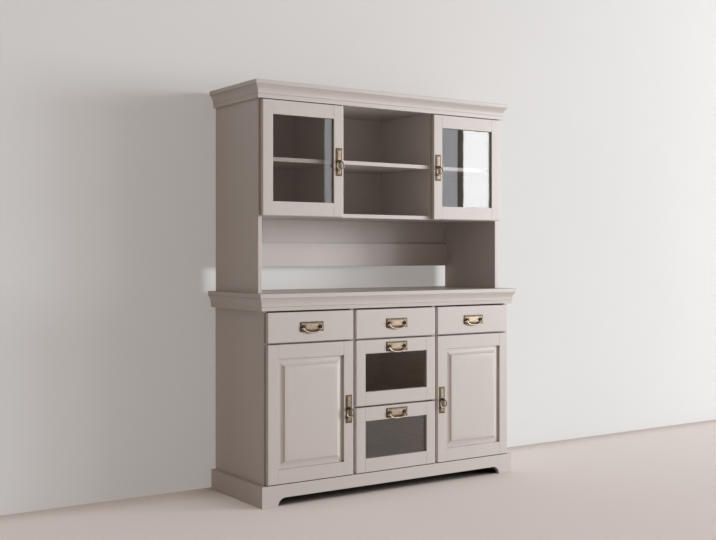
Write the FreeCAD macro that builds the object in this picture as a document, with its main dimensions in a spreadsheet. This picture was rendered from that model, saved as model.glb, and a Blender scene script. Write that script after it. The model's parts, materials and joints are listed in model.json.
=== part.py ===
"""Painted buffet cabinet: a base with drawers and doors, and a hutch that stands on its worktop.

Frame: +Z up, -Y towards the room, +X to the right of someone who faces the cabinet.
The origin is on the floor, in the middle of the cabinet's width and depth. Millimetres.
"""
import FreeCAD, Part
import os
import re

import Sketcher

# Driving dimensions. Levels are heights above the floor, depths are measured from the wall plane.
DIMENSIONS = {
    # whole cabinet
    "worktop_width": 1462,
    "worktop_depth": 502,
    "worktop_top": 922,
    "worktop_thick": 19,
    "total_height": 1850,
    "hutch_top_thick": 19,
    "arris": 1.5,
    "board": 18,
    "back_thick": 5,
    "back_rebate": 9,
    # base carcass
    "base_width": 1384,
    "base_depth": 460,
    "divider": 22,
    "column_axis": 235,
    "rail_depth": 80,
    "drawer_line": 704.5,
    "glazed_line": 397,
    "plinth_high": 93,
    "plinth_thick": 22,
    "foot_wide": 81,
    "arch_rise": 36,
    "base_shelf_level": 382,
    # moulding under the worktop
    "moulding_high": 56,
    "moulding_foot": 24,
    "moulding_crown": 37,
    "moulding_fillet": 18,
    # hutch carcass
    "hutch_width": 1382,
    "hutch_depth": 407,
    "hutch_floor_level": 1260,
    "hutch_shelf_level": 1505,
    "hutch_ceiling_level": 1777,
    "hutch_axis": 261,
    "niche_rail_low": 1033,
    "niche_rail_high": 1148,
    "niche_rail_thick": 20,
    "back_lap": 20,
    # moulding under the hutch top
    "cornice_high": 58.5,
    "cornice_foot": 22,
    "cornice_crown": 39,
    "cornice_fillet": 20,
    "cornice_backing": 10,
    "bead_step": 2,
    "bead_high": 4,
    "crown_lip": 3,
    # doors and drawer fronts
    "front_thick": 22,
    "front_gap": 3,
    "front_round": 3.5,
    "rear_round": 3,
    "line_gap": 6.5,
    "plinth_gap": 3,
    "column_gap": 14,
    "base_reveal": 5.5,
    "hutch_reveal": 9,
    "hutch_low_reveal": 2,
    "stile": 52,
    "rail": 63,
    "lip": 9,
    "lip_thick": 10,
    "glass_thick": 4,
    "tongue_thick": 6,
    "tongue_depth": 8,
    "tongue_clearance": 0.2,
    "recess": 10,
    "panel_land": 9,
    "panel_cove": 23,
    "field_step": 1.5,
    # drawer boxes and runners
    "side_thick": 14,
    "side_play": 3,
    "box_depth": 410,
    "top_box_high": 108,
    "glazed_box_high": 180,
    "box_lift": 10,
    "bottom_thick": 6,
    "bottom_lift": 8,
    "runner_high": 14,
    "runner_wide": 10,
    "runner_long": 390,
    "groove_depth": 8,
    "groove_play": 0.3,
    # concealed hinges, measured from the door's hinged edge and its rear face
    "pivot_in": 9,
    "pivot_deep": 10,
    "cup_in": 22.5,
    "cup_radius": 17.5,
    "cup_wall": 1,
    "cup_deep": 14,
    "cup_play": 0.1,
    "wing_thick": 1.2,
    "wing_wide": 18,
    "wing_high": 54,
    "pin_radius": 1.2,
    "pin_play": 0.05,
    "pin_long": 18.8,
    "eye_radius": 2.4,
    "arm_thick": 3,
    "arm_turn": 24,
    "arm_high": 8,
    "foot_high": 14,
    "foot_near": 12,
    "foot_far": 62,
    "hinge_end": 100,
    # pulls
    "plate_thick": 2.4,
    "plate_sunk": 1,
    "plate_border": 4,
    "bail_plate_wide": 122,
    "bail_plate_high": 44,
    "post_axis": 42,
    "post_radius": 3.5,
    "post_long": 12,
    "bail_forward": 7.5,
    "bail_half": 49,
    "bail_drop": 26,
    "bail_wire": 3,
    "bail_pin": 1.6,
    "ring_plate_wide": 34,
    "ring_plate_high": 127,
    "ring_plate_drop": 4,
    "boss_lift": 3,
    "boss_radius": 6,
    "boss_long": 14.2,
    "boss_hole": 4,
    "ring_forward": 9,
    "ring_radius": 19.25,
    "ring_wire": 2.75,
    # loose shelves
    "shelf_play": 1,
    "shelf_back_gap": 12,
    "shelf_front_gap": 24,
    "pin_peg": 2.5,
    "peg_out": 9,
    "peg_in": 9,
    "peg_inset": 50,
}

# Planes and levels that many pieces share, as formulas of the dimensions above.
REAR = "worktop_depth / 2"
BACK_FACE = "(worktop_depth / 2 - back_thick)"
BASE_FRONT = "(worktop_depth / 2 - base_depth)"
BASE_FRONTS_BACK = "(worktop_depth / 2 - base_depth - front_gap)"
BASE_TOP = "(worktop_top - worktop_thick)"
BASE_FLOOR = "(plinth_high + board)"
MOULDING_LOW = "(worktop_top - worktop_thick - moulding_high)"
HUTCH_FRONT = "(worktop_depth / 2 - hutch_depth)"
HUTCH_FRONTS_BACK = "(worktop_depth / 2 - hutch_depth - front_gap)"
HUTCH_SIDE_TOP = "(total_height - hutch_top_thick)"
CORNICE_LOW = "(total_height - hutch_top_thick - cornice_high)"
DOOR_LOW = "(plinth_high + plinth_gap)"
DOOR_HIGH = "(drawer_line - line_gap / 2)"
DRAWER_LOW = "(drawer_line + line_gap / 2)"
DRAWER_HIGH = "(worktop_top - worktop_thick - moulding_high - line_gap)"
HUTCH_DOOR_LOW = "(hutch_floor_level + hutch_low_reveal)"
HUTCH_DOOR_HIGH = "(total_height - hutch_top_thick - cornice_high - plinth_gap)"
BASE_INSIDE = "(base_width / 2 - board)"
HUTCH_INSIDE = "(hutch_width / 2 - board)"

TOWARDS_ROOM = FreeCAD.Rotation(FreeCAD.Vector(1, 0, 0), 90)
TOWARDS_RIGHT = FreeCAD.Rotation(FreeCAD.Vector(0, 1, 0), 90)
HANGING = FreeCAD.Rotation(FreeCAD.Vector(1, 0, 0), -90)
HANGING_LEFT = HANGING.multiply(FreeCAD.Rotation(FreeCAD.Vector(0, 0, 1), 90))

doc = FreeCAD.newDocument("BuffetCabinet")
sheet = doc.addObject("Spreadsheet::Sheet", "Dims")
for row, (alias, size) in enumerate(DIMENSIONS.items(), start=1):
    sheet.set(f"A{row}", alias)
    sheet.set(f"B{row}", str(size))
    sheet.setAlias(f"B{row}", alias)
doc.recompute()

nodes = []


# Helpers: objects whose sizes are tied to the sheet
def bind(item, path, formula):
    """Tie one size of an object to the sheet. The formula is written with the sheet's aliases."""
    item.setExpression(path, re.sub(r"[a-z]\w*", r"Dims.\g<0>", formula))


def place(item, x, y, z):
    """Tie an object's position to three formulas."""
    for axis, formula in zip("xyz", (x, y, z)):
        bind(item, f"Placement.Base.{axis}", formula)


def box(x, y, z, wide, deep, high):
    """A squared board with its lowest corner at x, y, z."""
    item = doc.addObject("Part::Box", "Board")
    for path, formula in (("Length", wide), ("Width", deep), ("Height", high)):
        bind(item, path, formula)
    place(item, x, y, z)
    return item


def centred_box(x, y, z, wide, deep, high):
    """A squared piece centred on x and z, whose rear face is at y and which reaches towards the room."""
    return box(f"{x} - ({wide}) / 2", f"{y} - ({deep})", f"{z} - ({high}) / 2", wide, deep, high)


def cylinder(x, y, z, radius, length, turn=None):
    """A round bar that starts at x, y, z and runs up, or the way that turn carries the vertical."""
    item = doc.addObject("Part::Cylinder", "Bar")
    bind(item, "Radius", radius)
    bind(item, "Height", length)
    if turn is not None:
        item.Placement = FreeCAD.Placement(FreeCAD.Vector(), turn)
    place(item, x, y, z)
    return item


def torus(x, y, z, radius, wire, turn, sweep=360):
    """A round wire bent to a ring, or to a part of one, about the point x, y, z."""
    item = doc.addObject("Part::Torus", "Ring")
    bind(item, "Radius1", radius)
    bind(item, "Radius2", wire)
    item.Angle3 = sweep
    item.Placement = FreeCAD.Placement(FreeCAD.Vector(), turn)
    place(item, x, y, z)
    return item


def cut(base, tool):
    """The base with the tool's space taken out of it."""
    item = doc.addObject("Part::Cut", "Cut")
    item.Base = base
    item.Tool = tool
    return item


def shared(first, second):
    """The space that two shapes both fill."""
    item = doc.addObject("Part::Common", "Shared")
    item.Base = first
    item.Tool = second
    return item


def fuse(members):
    """Several shapes grown into one solid."""
    item = doc.addObject("Part::MultiFuse", "Fused")
    item.Shapes = members
    return item


def group(members):
    """Several separate solids kept together."""
    item = doc.addObject("Part::Compound", "Group")
    item.Links = members
    return item


def mirrored(source):
    """The same piece on the other side of the cabinet's middle plane."""
    item = doc.addObject("Part::Mirroring", "Mirrored")
    item.Source = source
    item.Normal = FreeCAD.Vector(1, 0, 0)
    return item


def pair(source):
    """A piece and its mirror image, kept together."""
    return group([source, mirrored(source)])


def node(item, label):
    """Register an object as one named piece of the cabinet."""
    item.Label = label
    nodes.append(item)
    return item


# Helpers: bodies made from sketches
def origin_plane(body, role):
    """One of the body's own three origin planes."""
    return next(item for item in body.Origin.OriginFeatures if item.Role == role)


def sketch_on(body, role):
    """An empty sketch on one of the body's origin planes."""
    sketch = body.newObject("Sketcher::SketchObject", "Outline")
    sketch.AttachmentSupport = [(origin_plane(body, role), "")]
    sketch.MapMode = "FlatFace"
    return sketch


def add_dimension(sketch, formula, *constraint):
    """One dimension of a sketch, given as the constraint's kind, what it measures and its start value."""
    index = sketch.addConstraint(Sketcher.Constraint(*constraint))
    name = f"size{index}"
    sketch.renameConstraint(index, name)
    bind(sketch, f"Constraints.{name}", formula)


def cove_radius(reach, rise):
    """Radius of an arc that starts straight along its reach and has left it by rise at the end."""
    return (reach ** 2 + rise ** 2) / (2 * rise)


def cove_formula(reach, rise):
    """The same radius as a formula."""
    return f"(({reach}) ^ 2 + ({rise}) ^ 2) / (2 * ({rise}))"


def outline(sketch, corners, coves=None):
    """A closed outline. Each corner is a start point and two formulas for it.

    Coves maps a corner's number to the centre of the hollow arc that leads on from there, and to a formula
    for the arc's radius. An outline with coves runs clockwise, so that its arcs run the other way.
    """
    coves = coves or {}
    first = sketch.GeometryCount
    count = len(corners)
    points = [FreeCAD.Vector(start[0], start[1], 0) for start, _, _ in corners]
    for index, here in enumerate(points):
        following = points[(index + 1) % count]
        line = Part.LineSegment(here, following)
        if index in coves:
            centre = FreeCAD.Vector(*coves[index][0], 0)
            middle = (here + following) / 2 - centre
            radius = (here - centre).Length
            line = Part.Arc(here, centre + middle * (radius / middle.Length), following)
        sketch.addGeometry(line, False)
    for index in range(count):
        following = first + (index + 1) % count
        sketch.addConstraint(Sketcher.Constraint("Coincident", first + index, 2, following, 1))
    for index, (start, across, up) in enumerate(corners):
        end = (first + index - 1, 2) if index in coves else (first + index, 1)
        add_dimension(sketch, across, "DistanceX", *end, start[0])
        add_dimension(sketch, up, "DistanceY", *end, start[1])
    for index, (centre, formula) in coves.items():
        radius = (points[index] - FreeCAD.Vector(*centre, 0)).Length
        add_dimension(sketch, formula, "Radius", first + index, radius)


def rectangle(sketch, wide, high):
    """A rectangle with one corner on the sketch's origin."""
    outline(sketch, [
        ((0, 0), "0", "0"),
        ((10, 0), wide, "0"),
        ((10, 10), wide, high),
        ((0, 10), "0", high),
    ])


def padded(body, sketch, length):
    """The sketch's outline grown into a solid."""
    pad = body.newObject("PartDesign::Pad", "Pad")
    pad.Profile = sketch
    bind(pad, "Length", length)
    return pad


def pocketed(body, sketch):
    """The sketch's outline cut upwards through the whole body."""
    pocket = body.newObject("PartDesign::Pocket", "Pocket")
    pocket.Profile = sketch
    pocket.Type = "ThroughAll"
    pocket.Reversed = True
    before = body.Shape.Volume
    doc.recompute()
    if body.Shape.Volume >= before:
        raise RuntimeError("a pocket cut nothing")
    return pocket


def rounded(body, feature, edges, radius):
    """Round the named edges of the body's last feature."""
    fillet = body.newObject("PartDesign::Fillet", "Rounding")
    fillet.Base = (feature, edges)
    bind(fillet, "Radius", radius)
    doc.recompute()
    return fillet


def edges_along(shape, planes):
    """Names of the straight edges that lie in every one of the given planes, such as front and left."""
    limits = shape.BoundBox
    levels = {
        "left": ("X", limits.XMin), "right": ("X", limits.XMax),
        "front": ("Y", limits.YMin), "rear": ("Y", limits.YMax),
        "bottom": ("Z", limits.ZMin), "top": ("Z", limits.ZMax),
    }
    names = []
    for index, edge in enumerate(shape.Edges, start=1):
        bounds = edge.BoundBox
        reach = [
            abs(getattr(bounds, levels[plane][0] + end) - levels[plane][1])
            for plane in planes
            for end in ("Min", "Max")
        ]
        if max(reach) < 1e-6:
            names.append(f"Edge{index}")
    return names


def front_board(x, back, z, wide, high, soft_sides):
    """A board of a door or drawer front. The outer edges named in soft_sides are rounded off."""
    body = doc.addObject("PartDesign::Body", "FrontBoard")
    sketch = sketch_on(body, "XZ_Plane")
    rectangle(sketch, wide, high)
    pad = padded(body, sketch, "front_thick")
    doc.recompute()
    front_edges = [name for side in soft_sides for name in edges_along(pad.Shape, ("front", side))]
    soft = rounded(body, pad, front_edges, "front_round")
    rear_edges = [name for side in soft_sides for name in edges_along(soft.Shape, ("rear", side))]
    rounded(body, soft, rear_edges, "rear_round")
    place(body, x, back, z)
    return body


def top_slab(x, z, wide, deep, thick):
    """A slab that overhangs what it covers. Its three free sides have a small arris."""
    body = doc.addObject("PartDesign::Body", "Slab")
    sketch = sketch_on(body, "XZ_Plane")
    rectangle(sketch, wide, thick)
    pad = padded(body, sketch, deep)
    doc.recompute()
    free_edges = []
    for level in ("top", "bottom"):
        for side in ("left", "right", "front"):
            free_edges += edges_along(pad.Shape, (level, side))
    rounded(body, pad, free_edges, "arris")
    place(body, x, REAR, z)
    return body


# Mouldings: a flat fillet, a bead that steps out, a cove, and a thin lip under the slab
def moulding_outline(sketch, name, skip):
    """The moulding's section. Its back is at 0 and it projects to negative x; skip is taken off it."""
    sizes = DIMENSIONS
    take = sizes[skip] if skip in sizes else 0
    foot = sizes[f"{name}_foot"] - take
    bead = foot + sizes["bead_step"]
    crown = sizes[f"{name}_crown"] - take
    fillet = sizes[f"{name}_fillet"]
    shoulder = fillet + sizes["bead_high"]
    high = sizes[f"{name}_high"]
    lip = high - sizes["crown_lip"]
    foot_formula = f"-({name}_foot - {skip})"
    bead_formula = f"-({name}_foot - {skip} + bead_step)"
    crown_formula = f"-({name}_crown - {skip})"
    corners = [
        ((0, 0), "0", "0"),
        ((-foot, 0), foot_formula, "0"),
        ((-foot, fillet), foot_formula, f"{name}_fillet"),
        ((-bead, fillet), bead_formula, f"{name}_fillet"),
        ((-bead, shoulder), bead_formula, f"{name}_fillet + bead_high"),
        ((-crown, lip), crown_formula, f"{name}_high - crown_lip"),
        ((-crown, high), crown_formula, f"{name}_high"),
        ((0, high), "0", f"{name}_high"),
    ]
    shoulder_corner = 4
    centre = (-bead - cove_radius(lip - shoulder, crown - bead), shoulder)
    radius = cove_formula(
        f"{name}_high - crown_lip - {name}_fillet - bead_high",
        f"{name}_crown - {name}_foot - bead_step",
    )
    outline(sketch, corners, {shoulder_corner: (centre, radius)})


def front_moulding(name, corner, front, low):
    """The long moulding across the front, mitred at both ends. Corner is where the mitre meets its back."""
    body = doc.addObject("PartDesign::Body", "FrontMoulding")
    sketch = sketch_on(body, "YZ_Plane")
    moulding_outline(sketch, name, "0")
    pad = padded(body, sketch, f"2 * ({corner} + {name}_crown)")
    pad.SideType = "Symmetric"
    doc.recompute()
    half = pad.Shape.BoundBox.XMax
    crown = DIMENSIONS[f"{name}_crown"]
    mitres = sketch_on(body, "XY_Plane")
    for side in ("", "-"):
        sign = -1 if side else 1
        outline(mitres, [
            ((sign * (half - crown), 0), f"{side}{corner}", "0"),
            ((sign * half, 0), f"{side}({corner} + {name}_crown)", "0"),
            ((sign * half, -crown), f"{side}({corner} + {name}_crown)", f"-{name}_crown"),
        ])
    pocketed(body, mitres)
    place(body, "0", front, low)
    return body


def side_moulding(name, skip, side_face, depth, low):
    """The return along the left side, from the wall plane to the mitre at the front corner."""
    body = doc.addObject("PartDesign::Body", "SideMoulding")
    sketch = sketch_on(body, "XZ_Plane")
    moulding_outline(sketch, name, skip)
    length = f"({depth} + {name}_crown)"
    pad = padded(body, sketch, length)
    doc.recompute()
    end = pad.Shape.BoundBox.YMin
    reach = pad.Shape.BoundBox.XMin
    mitre = sketch_on(body, "XY_Plane")
    outline(mitre, [
        ((0, end - reach), "0", f"-({depth} + {skip})"),
        ((0, end), "0", f"-{length}"),
        ((reach, end), f"-({name}_crown - {skip})", f"-{length}"),
    ])
    pocketed(body, mitre)
    place(body, side_face, REAR, low)
    return body


# Base carcass
def plinth_front():
    """The skirting across the front: mitred ends, and a long low arch that leaves two feet."""
    body = doc.addObject("PartDesign::Body", "PlinthFront")
    half = "(base_width / 2 + plinth_thick)"
    face = sketch_on(body, "XZ_Plane")
    wide = DIMENSIONS["base_width"] / 2 + DIMENSIONS["plinth_thick"]
    high = DIMENSIONS["plinth_high"]
    arch = wide - DIMENSIONS["foot_wide"]
    rise = DIMENSIONS["arch_rise"]
    foot = f"({half} - foot_wide)"
    crown = f"({half} - foot_wide - arch_rise)"
    corners = [
        ((-wide, 0), f"-{half}", "0"),
        ((-wide, high), f"-{half}", "plinth_high"),
        ((wide, high), half, "plinth_high"),
        ((wide, 0), half, "0"),
        ((arch, 0), foot, "0"),
        ((arch - rise, rise), crown, "arch_rise"),
        ((-arch + rise, rise), f"-{crown}", "arch_rise"),
        ((-arch, 0), f"-{foot}", "0"),
    ]
    right_foot, left_crown = 4, 6
    outline(face, corners, {
        right_foot: ((arch - rise, 0), "arch_rise"),
        left_crown: ((-arch + rise, 0), "arch_rise"),
    })
    padded(body, face, "plinth_thick")
    doc.recompute()
    thick = DIMENSIONS["plinth_thick"]
    mitres = sketch_on(body, "XY_Plane")
    for side in ("", "-"):
        sign = -1 if side else 1
        outline(mitres, [
            ((sign * (wide - thick), 0), f"{side}base_width / 2", "0"),
            ((sign * wide, 0), f"{side}{half}", "0"),
            ((sign * wide, -thick), f"{side}{half}", "-plinth_thick"),
        ])
    pocketed(body, mitres)
    place(body, "0", BASE_FRONT, "0")
    return body


def plinth_side():
    """The skirting along the left side, mitred into the front one."""
    body = doc.addObject("PartDesign::Body", "PlinthSide")
    plan = sketch_on(body, "XY_Plane")
    thick = DIMENSIONS["plinth_thick"]
    depth = DIMENSIONS["base_depth"]
    outline(plan, [
        ((0, 0), "0", "0"),
        ((-thick, 0), "-plinth_thick", "0"),
        ((-thick, -depth - thick), "-plinth_thick", "-(base_depth + plinth_thick)"),
        ((0, -depth), "0", "-base_depth"),
    ])
    padded(body, plan, "plinth_high")
    doc.recompute()
    place(body, "-base_width / 2", REAR, "0")
    return body


def rebated_side(x, y, z, deep, high):
    """A left side board with a rebate along its inner rear edge for the back panel."""
    side = box(x, y, z, "board", deep, high)
    rebate = box(f"{x} + board - back_rebate", BACK_FACE, z, "back_rebate", "back_thick", high)
    return cut(side, rebate)


def base_carcass():
    """Sides, dividers, floor and rails of the base, with its skirting, worktop and moulding."""
    side_plinth = plinth_side()
    node(group([plinth_front(), side_plinth, mirrored(side_plinth)]), "plinth")
    node(pair(rebated_side("-base_width / 2", BASE_FRONT, "0", "base_depth", BASE_TOP)), "base_sides")
    inner_depth = "(base_depth - back_thick)"
    stand = f"({BASE_TOP} - {BASE_FLOOR})"
    left_divider = box("-column_axis - divider / 2", BASE_FRONT, BASE_FLOOR, "divider", inner_depth, stand)
    node(pair(left_divider), "base_dividers")
    floor_wide = f"(2 * {BASE_INSIDE})"
    node(box(f"-{BASE_INSIDE}", BASE_FRONT, "plinth_high", floor_wide, inner_depth, "board"), "base_floor")

    side_bay = f"({BASE_INSIDE} - column_axis - divider / 2)"
    middle_bay = "(2 * column_axis - divider)"
    bays = [
        (f"-{BASE_INSIDE}", side_bay),
        ("-(column_axis - divider / 2)", middle_bay),
        ("(column_axis + divider / 2)", side_bay),
    ]
    rail_back = f"({BACK_FACE} - board)"
    rails = []
    for x, wide in bays:
        rails.append(box(x, BASE_FRONT, MOULDING_LOW, wide, "board", "moulding_high"))
        rails.append(box(x, rail_back, MOULDING_LOW, wide, "board", "moulding_high"))
        rails.append(box(x, BASE_FRONT, "drawer_line - board / 2", wide, "rail_depth", "board"))
    x, wide = bays[1]
    rails.append(box(x, BASE_FRONT, "glazed_line - board / 2", wide, "rail_depth", "board"))
    node(group(rails), "base_rails")

    slab_x = "-worktop_width / 2"
    worktop = top_slab(slab_x, BASE_TOP, "worktop_width", "worktop_depth", "worktop_thick")
    node(worktop, "worktop")
    front = front_moulding("moulding", "base_width / 2", BASE_FRONT, MOULDING_LOW)
    side = side_moulding("moulding", "0", "-base_width / 2", "base_depth", MOULDING_LOW)
    node(group([front, side, mirrored(side)]), "worktop_moulding")


# Hutch carcass
def hutch_carcass():
    """Sides, dividers, fixed boards, back panels and crown of the hutch."""
    high = f"({HUTCH_SIDE_TOP} - worktop_top)"
    left_side = rebated_side("-hutch_width / 2", HUTCH_FRONT, "worktop_top", "hutch_depth", high)
    node(pair(left_side), "hutch_sides")
    inner_depth = "(hutch_depth - back_thick)"
    floor_top = "(hutch_floor_level + board)"
    stand = f"(hutch_ceiling_level - {floor_top})"
    left_divider = box("-hutch_axis - board / 2", HUTCH_FRONT, floor_top, "board", inner_depth, stand)
    node(pair(left_divider), "hutch_dividers")
    span = f"(2 * {HUTCH_INSIDE})"
    middle = "(2 * hutch_axis - board)"
    boards = [
        box(f"-{HUTCH_INSIDE}", HUTCH_FRONT, "hutch_floor_level", span, inner_depth, "board"),
        box(f"-{HUTCH_INSIDE}", HUTCH_FRONT, "hutch_ceiling_level", span, inner_depth, "board"),
        box(f"-{middle} / 2", HUTCH_FRONT, "hutch_shelf_level", middle, inner_depth, "board"),
    ]
    node(group(boards), "hutch_boards")
    slab_wide = "(hutch_width + 2 * (cornice_crown - cornice_backing + crown_lip))"
    slab_deep = "(hutch_depth + cornice_crown + crown_lip)"
    slab = top_slab(f"-{slab_wide} / 2", HUTCH_SIDE_TOP, slab_wide, slab_deep, "hutch_top_thick")
    node(slab, "hutch_top")
    corner = "(hutch_width / 2 - cornice_backing)"
    front = front_moulding("cornice", corner, HUTCH_FRONT, CORNICE_LOW)
    side = side_moulding("cornice", "cornice_backing", "-hutch_width / 2", "hutch_depth", CORNICE_LOW)
    node(group([front, side, mirrored(side)]), "cornice_moulding")

    low = "(niche_rail_high - back_lap)"
    wide = "(hutch_width - 2 * (board - back_rebate))"
    hutch_back = box(f"-{wide} / 2", BACK_FACE, low, wide, "back_thick", f"({HUTCH_SIDE_TOP} - {low})")
    wide = "(base_width - 2 * (board - back_rebate))"
    high = f"({BASE_TOP} - plinth_high)"
    base_back = box(f"-{wide} / 2", BACK_FACE, "plinth_high", wide, "back_thick", high)
    node(group([hutch_back, base_back]), "back_panels")
    rail_y = f"({BACK_FACE} - niche_rail_thick)"
    rail_high = "(niche_rail_high - niche_rail_low)"
    niche_rail = box(f"-{HUTCH_INSIDE}", rail_y, "niche_rail_low", span, "niche_rail_thick", rail_high)
    node(niche_rail, "niche_back_rail")


# Loose shelves on pegs
def loose_shelf(inner, outer, front, level):
    """One shelf of a left cupboard and the four pegs that carry it."""
    y = f"({front} + shelf_front_gap)"
    deep = f"({BACK_FACE} - {front} - shelf_back_gap - shelf_front_gap)"
    wide = f"({outer} - {inner} - 2 * shelf_play)"
    shelf = box(f"-{outer} + shelf_play", y, level, wide, deep, "board")
    pegs = []
    length = "(peg_in + peg_out)"
    for depth in (f"{y} + peg_inset", f"{y} + {deep} - peg_inset"):
        for start in (f"-{outer} - peg_in", f"-{inner} - peg_out"):
            pegs.append(cylinder(start, depth, f"{level} - pin_peg", "pin_peg", length, TOWARDS_RIGHT))
    return shelf, pegs


def shelves():
    """Shelves behind the two base doors and the two glazed doors."""
    base_bay = ("(column_axis + divider / 2)", BASE_INSIDE)
    base_shelf, base_pegs = loose_shelf(*base_bay, BASE_FRONT, "base_shelf_level")
    hutch_bay = ("(hutch_axis + board / 2)", HUTCH_INSIDE)
    hutch_shelf, hutch_pegs = loose_shelf(*hutch_bay, HUTCH_FRONT, "hutch_shelf_level")
    left_shelves = [base_shelf, hutch_shelf]
    node(group(left_shelves + [mirrored(shelf) for shelf in left_shelves]), "loose_shelves")
    left_pegs = base_pegs + hutch_pegs
    node(group(left_pegs + [mirrored(peg) for peg in left_pegs]), "shelf_pegs")


# Framed fronts: two stiles with two rails between them round a pane or a panel
def framed(x, back, z, wide, high, tool):
    """The four members of a frame, each with the tool's space cut out of its inner edge."""
    inside = f"({wide} - 2 * stile)"
    members = [
        front_board(x, back, z, "stile", high, ("left", "top", "bottom")),
        front_board(f"{x} + {wide} - stile", back, z, "stile", high, ("right", "top", "bottom")),
        front_board(f"{x} + stile", back, z, inside, "rail", ("bottom",)),
        front_board(f"{x} + stile", back, f"{z} + {high} - rail", inside, "rail", ("top",)),
    ]
    return [cut(member, tool) for member in members]


def glazing(x, back, z, wide, high):
    """The rebate's space, the pane that lies in it and the four beads that hold the pane."""
    rebate_x = f"({x} + stile - lip)"
    rebate_z = f"({z} + rail - lip)"
    rebate_wide = f"({wide} - 2 * stile + 2 * lip)"
    rebate_high = f"({high} - 2 * rail + 2 * lip)"
    rebate_deep = "(front_thick - lip_thick)"
    tool = box(rebate_x, f"{back} - {rebate_deep}", rebate_z, rebate_wide, rebate_deep, rebate_high)
    pane = box(rebate_x, f"{back} - {rebate_deep}", rebate_z, rebate_wide, "glass_thick", rebate_high)
    bead_y = f"{back} - {rebate_deep} + glass_thick"
    bead_deep = f"({rebate_deep} - glass_thick)"
    between = f"({rebate_high} - 2 * lip)"
    beads = [
        box(rebate_x, bead_y, rebate_z, rebate_wide, bead_deep, "lip"),
        box(rebate_x, bead_y, f"{rebate_z} + {rebate_high} - lip", rebate_wide, bead_deep, "lip"),
        box(rebate_x, bead_y, f"{rebate_z} + lip", "lip", bead_deep, between),
        box(f"{rebate_x} + {rebate_wide} - lip", bead_y, f"{rebate_z} + lip", "lip", bead_deep, between),
    ]
    return tool, pane, beads


def coved_prism(wide, long):
    """A bar whose section is the panel's: a tongue, a land, a cove and a small step up to the field."""
    sizes = DIMENSIONS
    land = sizes["tongue_depth"] + sizes["panel_land"]
    inner = land + sizes["panel_cove"]
    thin = sizes["tongue_thick"]
    rise = sizes["recess"] - 2 * sizes["field_step"]
    thick = thin + rise
    full = thick + sizes["field_step"]
    far = 2 * inner + sizes["stile"]
    land_formula = "(tongue_depth + panel_land)"
    inner_formula = "(tongue_depth + panel_land + panel_cove)"
    thick_formula = "-(tongue_thick + recess - 2 * field_step)"
    full_formula = "-(tongue_thick + recess - field_step)"
    corners = [
        ((0, 0), "0", "0"),
        ((far, 0), wide, "0"),
        ((far, -thin), wide, "-tongue_thick"),
        ((far - land, -thin), f"{wide} - {land_formula}", "-tongue_thick"),
        ((far - inner, -thick), f"{wide} - {inner_formula}", thick_formula),
        ((far - inner, -full), f"{wide} - {inner_formula}", full_formula),
        ((inner, -full), inner_formula, full_formula),
        ((inner, -thick), inner_formula, thick_formula),
        ((land, -thin), land_formula, "-tongue_thick"),
        ((0, -thin), "0", "-tongue_thick"),
    ]
    radius = cove_radius(sizes["panel_cove"], rise)
    formula = cove_formula("panel_cove", "recess - 2 * field_step")
    right_land, left_step = 3, 7
    body = doc.addObject("PartDesign::Body", "CovedPrism")
    sketch = sketch_on(body, "XY_Plane")
    outline(sketch, corners, {
        right_land: ((far - land, -thin - radius), formula),
        left_step: ((land, -thin - radius), formula),
    })
    padded(body, sketch, long)
    doc.recompute()
    return body


def raised_panel(x, back, z, wide, high):
    """The groove's space and the panel. Two prisms cross, and what they share is coved on all four sides."""
    panel_wide = f"({wide} - 2 * stile + 2 * tongue_depth)"
    panel_high = f"({high} - 2 * rail + 2 * tongue_depth)"
    panel_x = f"({x} + stile - tongue_depth)"
    panel_y = f"({back} - front_thick + recess + tongue_thick)"
    panel_z = f"({z} + rail - tongue_depth)"
    tool = box(
        f"{panel_x} - tongue_clearance",
        f"{panel_y} - tongue_thick - tongue_clearance",
        f"{panel_z} - tongue_clearance",
        f"{panel_wide} + 2 * tongue_clearance",
        "tongue_thick + 2 * tongue_clearance",
        f"{panel_high} + 2 * tongue_clearance",
    )
    upright = coved_prism(panel_wide, panel_high)
    place(upright, panel_x, panel_y, panel_z)
    lying = coved_prism(panel_high, panel_wide)
    lying.Placement = FreeCAD.Placement(FreeCAD.Vector(), TOWARDS_RIGHT)
    place(lying, panel_x, panel_y, f"{panel_z} + {panel_high}")
    return tool, shared(upright, lying)


# Concealed hinges
def hinge_levels(low, high):
    """Heights of a door's two hinges."""
    return (f"({low} + hinge_end)", f"({high} - hinge_end)")


def hinge_cup(edge, back, level):
    """The cup let into a left door, with its two screw wings and the pin that crosses it."""
    x = f"({edge} + cup_in)"
    shell = cylinder(x, back, level, "cup_radius", "cup_deep", TOWARDS_ROOM)
    wings = box(
        f"{x} - wing_wide / 2", back, f"{level} - wing_high / 2", "wing_wide", "wing_thick", "wing_high",
    )
    hollow = cylinder(x, f"{back} + wing_thick", level, "cup_radius - cup_wall",
                      "wing_thick + cup_deep - cup_wall", TOWARDS_ROOM)
    pin_foot = f"{level} - pin_long / 2"
    pin = cylinder(f"{edge} + pivot_in", f"{back} - pivot_deep", pin_foot, "pin_radius", "pin_long")
    return fuse([cut(fuse([shell, wings]), hollow), pin])


def cup_hole(edge, back, level):
    """The space that a cup takes up in the door."""
    x = f"({edge} + cup_in)"
    return cylinder(x, back, level, "cup_radius + cup_play", "cup_deep + cup_play", TOWARDS_ROOM)


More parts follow.
